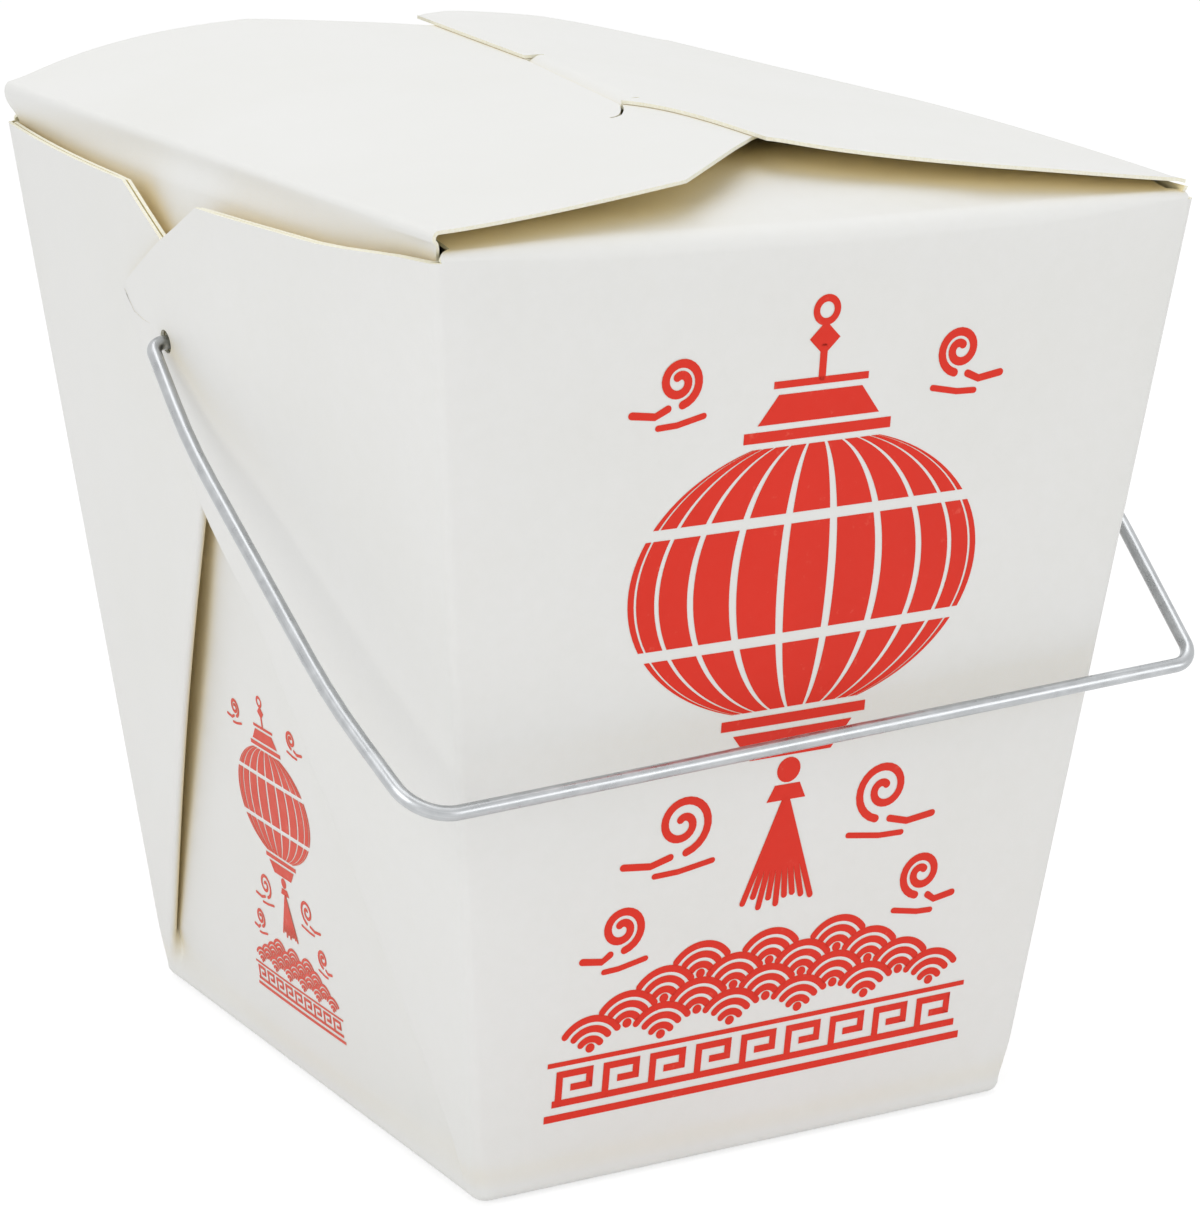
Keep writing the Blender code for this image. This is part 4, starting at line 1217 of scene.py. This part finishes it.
def buildArt():
    # every part of the design, flat, in millimetres; returns flat meshes
    rows, rounds, gores = rowTree(), roundTree(), goreTree()
    ink = looks["ink"]
    flat, temps = [], []

    def keep(obj, dx=0.0, dy=0.0):
        obj.data.transform(Matrix.Translation((dx, dy, 0)))
        flat.append(obj)

    a = SimpleNamespace(**art["lantern"])
    keep(grow("gores", gores, {"Gores": a.gores, "Half Width": a.halfWidth,
                               "Half Height": a.halfHeight, "Gap": a.gap,
                               "Closing Angle": a.closing, "Material": ink}), 0, a.middle)
    top, base = a.middle + a.halfHeight, a.middle - a.halfHeight
    solid = [
        box(-9.2, top + 0.7, 9.2, top + 1.9),
        [[(-7.6, top + 2.6), (7.6, top + 2.6), (5.2, top + 5.8), (-5.2, top + 5.8)]],
        box(-5.9, top + 6.5, 5.9, top + 7.3),
        [ribbon([(0, top + 7.3), (0, top + 10.5)], 0.9)],
        [[(0, top + 9.6), (1.9, top + 11.5), (0, top + 13.4), (-1.9, top + 11.5)]],
        ringShape(0, top + 14.6, 1.7, 0.9),
        box(-9.2, base - 1.9, 9.2, base - 0.7),
        [[(-5.2, base - 5.8), (5.2, base - 5.8), (7.6, base - 2.6), (-7.6, base - 2.6)]],
        [arc(0, base - 7.6, 1.5, 0, 360, 24)[:-1]],
        [[(-1.6, base - 9.3), (1.6, base - 9.3), (2.5, base - 11.2), (-2.5, base - 11.2)]],
    ]
    for side in (-1, 1):                               # clouds: a curl with a trailing line
        for cx, cy, r, tail in art["clouds"]:
            under = cy - r
            strokes = [
                (spiral(side * cx, cy, 0.6, r, 60, 1.55, side), 0.95),
                ([(side * (cx + 1.2), under - 0.2), (side * (cx + tail * 0.6), under - 0.9),
                  (side * (cx + tail + 1), under - 0.5)], 0.85),
                ([(side * (cx - r - 0.6), under - 1.4), (side * cx, under - 2.1),
                  (side * (cx + tail * 0.5), under - 2.2)], 0.7),
            ]
            solid += [[ribbon(line, width)] for line, width in strokes]
    for low, high in art["borders"]:
        solid.append(box(-art["borderHalf"], low, art["borderHalf"], high))
    plain = motif("plainShapes", solid)
    plain.data.materials.append(ink)
    keep(plain)

    w = SimpleNamespace(**art["waves"])
    wave = waveMotif(w.radius, w.line)
    temps.append(wave)
    keep(grow("waves", rows, {"Motif": wave, "Across": w.across, "Rows": w.rows,
                              "Pitch": 2 * w.radius, "Rise": w.radius / 2, "Step In": w.radius,
                              "Material": ink}), 0, w.foot)
    f = SimpleNamespace(**art["fret"])
    key = fretMotif(f.pitch, f.height, f.line)
    temps.append(key)
    keep(grow("fret", rows, {"Motif": key, "Across": f.count, "Rows": 1, "Pitch": f.pitch,
                             "Rise": 0.0, "Step In": 0.0, "Material": ink}), 0, f.foot)
    s = SimpleNamespace(**art["strands"])
    strand = motif("strand", [[ribbon([(0, -0.6), (0, -s.length)], s.line)]])
    temps.append(strand)
    keep(grow("strands", rounds, {"Motif": strand, "Count": s.count, "Start": s.start,
                                  "Sweep": s.sweep, "Uneven": s.uneven, "Seed": s.seed,
                                  "Stagger": (0, 0, s.stagger), "Material": ink}), 0, base - 10.8)
    return flat, temps


def shorten(mesh, longest):
    # splits long edges, so that a flat shape can follow a curved wall
    bm = bmesh.new()
    bm.from_mesh(mesh)
    bmesh.ops.remove_doubles(bm, verts=bm.verts, dist=1e-5)
    for _ in range(6):
        long = [edge for edge in bm.edges if edge.calc_length() > longest]
        if not long:
            break
        bmesh.ops.subdivide_edges(bm, edges=long, cuts=1)
        bmesh.ops.triangulate(bm, faces=[face for face in bm.faces if len(face.verts) > 3])
    bm.to_mesh(mesh)
    bm.free()


def layOnWall(flat, name, wallPoint, scale, ink):
    # wraps the flat design onto a wall, a hair proud of the board
    points, faces, nudge = [], [], 0.1
    for level, obj in enumerate(flat):
        start = len(points)
        mesh = obj.data
        for v in mesh.vertices:
            u, h = v.co.x * scale, art["foot"] + (v.co.y - art["foot"]) * scale
            spot = np.array(wallPoint(u, h))
            du = np.array(wallPoint(u + nudge, h)) - spot
            dh = np.array(wallPoint(u, h + nudge)) - spot
            out = np.cross(du, dh)
            out /= np.linalg.norm(out)
            off = p.board / 2 + art["lift"] + art["layer"] * level + v.co.z
            points.append(spot + out * off)
        faces += [tuple(start + i for i in poly.vertices) for poly in mesh.polygons]
    made = bpy.data.meshes.new(name)
    made.from_pydata([tuple(q * mm) for q in points], [], faces)
    made.materials.append(ink)
    bm = bmesh.new()
    bm.from_mesh(made)
    bmesh.ops.remove_doubles(bm, verts=bm.verts, dist=1e-7)
    centre = Vector((0, 0, 0.05))
    for face in bm.faces:
        if face.normal.dot(face.calc_center_median() - centre) < 0:
            face.normal_flip()
    bm.to_mesh(made)
    bm.free()
    for poly in made.polygons:
        poly.use_smooth = True
    return addObject(name, made)


def endWallAt(sy):
    def point(u, h):
        half = sideX(endPlane(h), h) + foldSection(h)[4] - foldSection(h)[0]
        x = -sy * u
        return endWallPoint(sy, (x + half) / (2 * half), h)
    return point


def sideWallAt(sx):
    def point(u, h):
        y = sx * u
        return sx * wallX(y, h), y, h
    return point


scratch = {"run": [(10.6, 95.0), (9.5, 93.8), (8.2, 92.6), (5.7, 92.1), (2.4, 91.9)],
           "width": 0.34, "lift": 0.02, "steps": 6}


def buildScratch(board):
    # a faint scratch by the wire's left hole, thinning towards it
    s = SimpleNamespace(**scratch)
    surface = BVHTree.FromPolygons([v.co for v in board.data.vertices],
                                   [poly.vertices for poly in board.data.polygons])
    outside = -80 * mm
    path = [Vector(a).lerp(Vector(b), k / s.steps)
            for a, b in zip(s.run, s.run[1:]) for k in range(s.steps)]
    points, faces = [], []
    for i in range(1, len(path) - 1):
        ahead = (path[i + 1] - path[i - 1]).normalized()
        wide = s.width * (1 - i / len(path)) ** 1.5 * min(i / 3, 1)
        for side in (-0.5, 0.5):
            y, z = path[i] + Vector((-ahead.y, ahead.x)) * wide * side
            spot = surface.ray_cast(Vector((outside, y * mm, z * mm)), Vector((1, 0, 0)))[0]
            points.append((spot.x - s.lift * mm, spot.y, spot.z))
    for i in range(0, len(points) - 2, 2):
        faces.append((i, i + 2, i + 3, i + 1))
    mesh = bpy.data.meshes.new("scratch")
    mesh.from_pydata(points, [], faces)
    mesh.materials.append(looks["scratch"])
    if mesh.polygons[0].normal.x > 0:
        mesh.flip_normals()
    return addObject("scratch", mesh)


print("camera, lamps and floor")
bpy.context.scene.view_settings.view_transform = 'Standard'
addCamera()
addLamps()
addFloor()

print("materials")
looks = {
    "coat": coatedBoard(), "inside": bareInside(), "edge": cutEdge(), "wire": drawnWire(),
    "scratch": rubbedCoat(),
    "ink": printInk("redInk", (230, 50, 32), (236, 84, 66)),
    "paleInk": printInk("paleRedInk", (226, 84, 66), (234, 124, 106)),
}

print("pail board")
pailBoard = buildPailBoard()
print("tab flap")
tabFlap = buildTabFlap()
print("wire bail")
bail = buildBail()

print("print on the walls")
flat, temps = buildArt()
for obj in flat:
    shorten(obj.data, art["longestEdge"])
prints = [layOnWall(flat, "printFront", endWallAt(-1), 1.0, looks["ink"]),
          layOnWall(flat, "printBack", endWallAt(1), 1.0, looks["ink"]),
          layOnWall(flat, "printLeft", sideWallAt(-1), art["smallScale"], looks["paleInk"]),
          layOnWall(flat, "printRight", sideWallAt(1), art["smallScale"], looks["paleInk"])]
for obj in flat + temps:
    bpy.data.objects.remove(obj)
marks = prints + [buildScratch(pailBoard)]

print("riding on the bodies")
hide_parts("carton")
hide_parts("tab_flap")
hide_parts("bail")
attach(pailBoard, "carton")
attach(tabFlap, "tab_flap")
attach(bail, "bail")
for obj in marks:
    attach(obj, "carton")

print("triangles", sum(len(poly.vertices) - 2 for obj in [pailBoard, tabFlap, bail] + marks
                       for poly in obj.data.polygons))
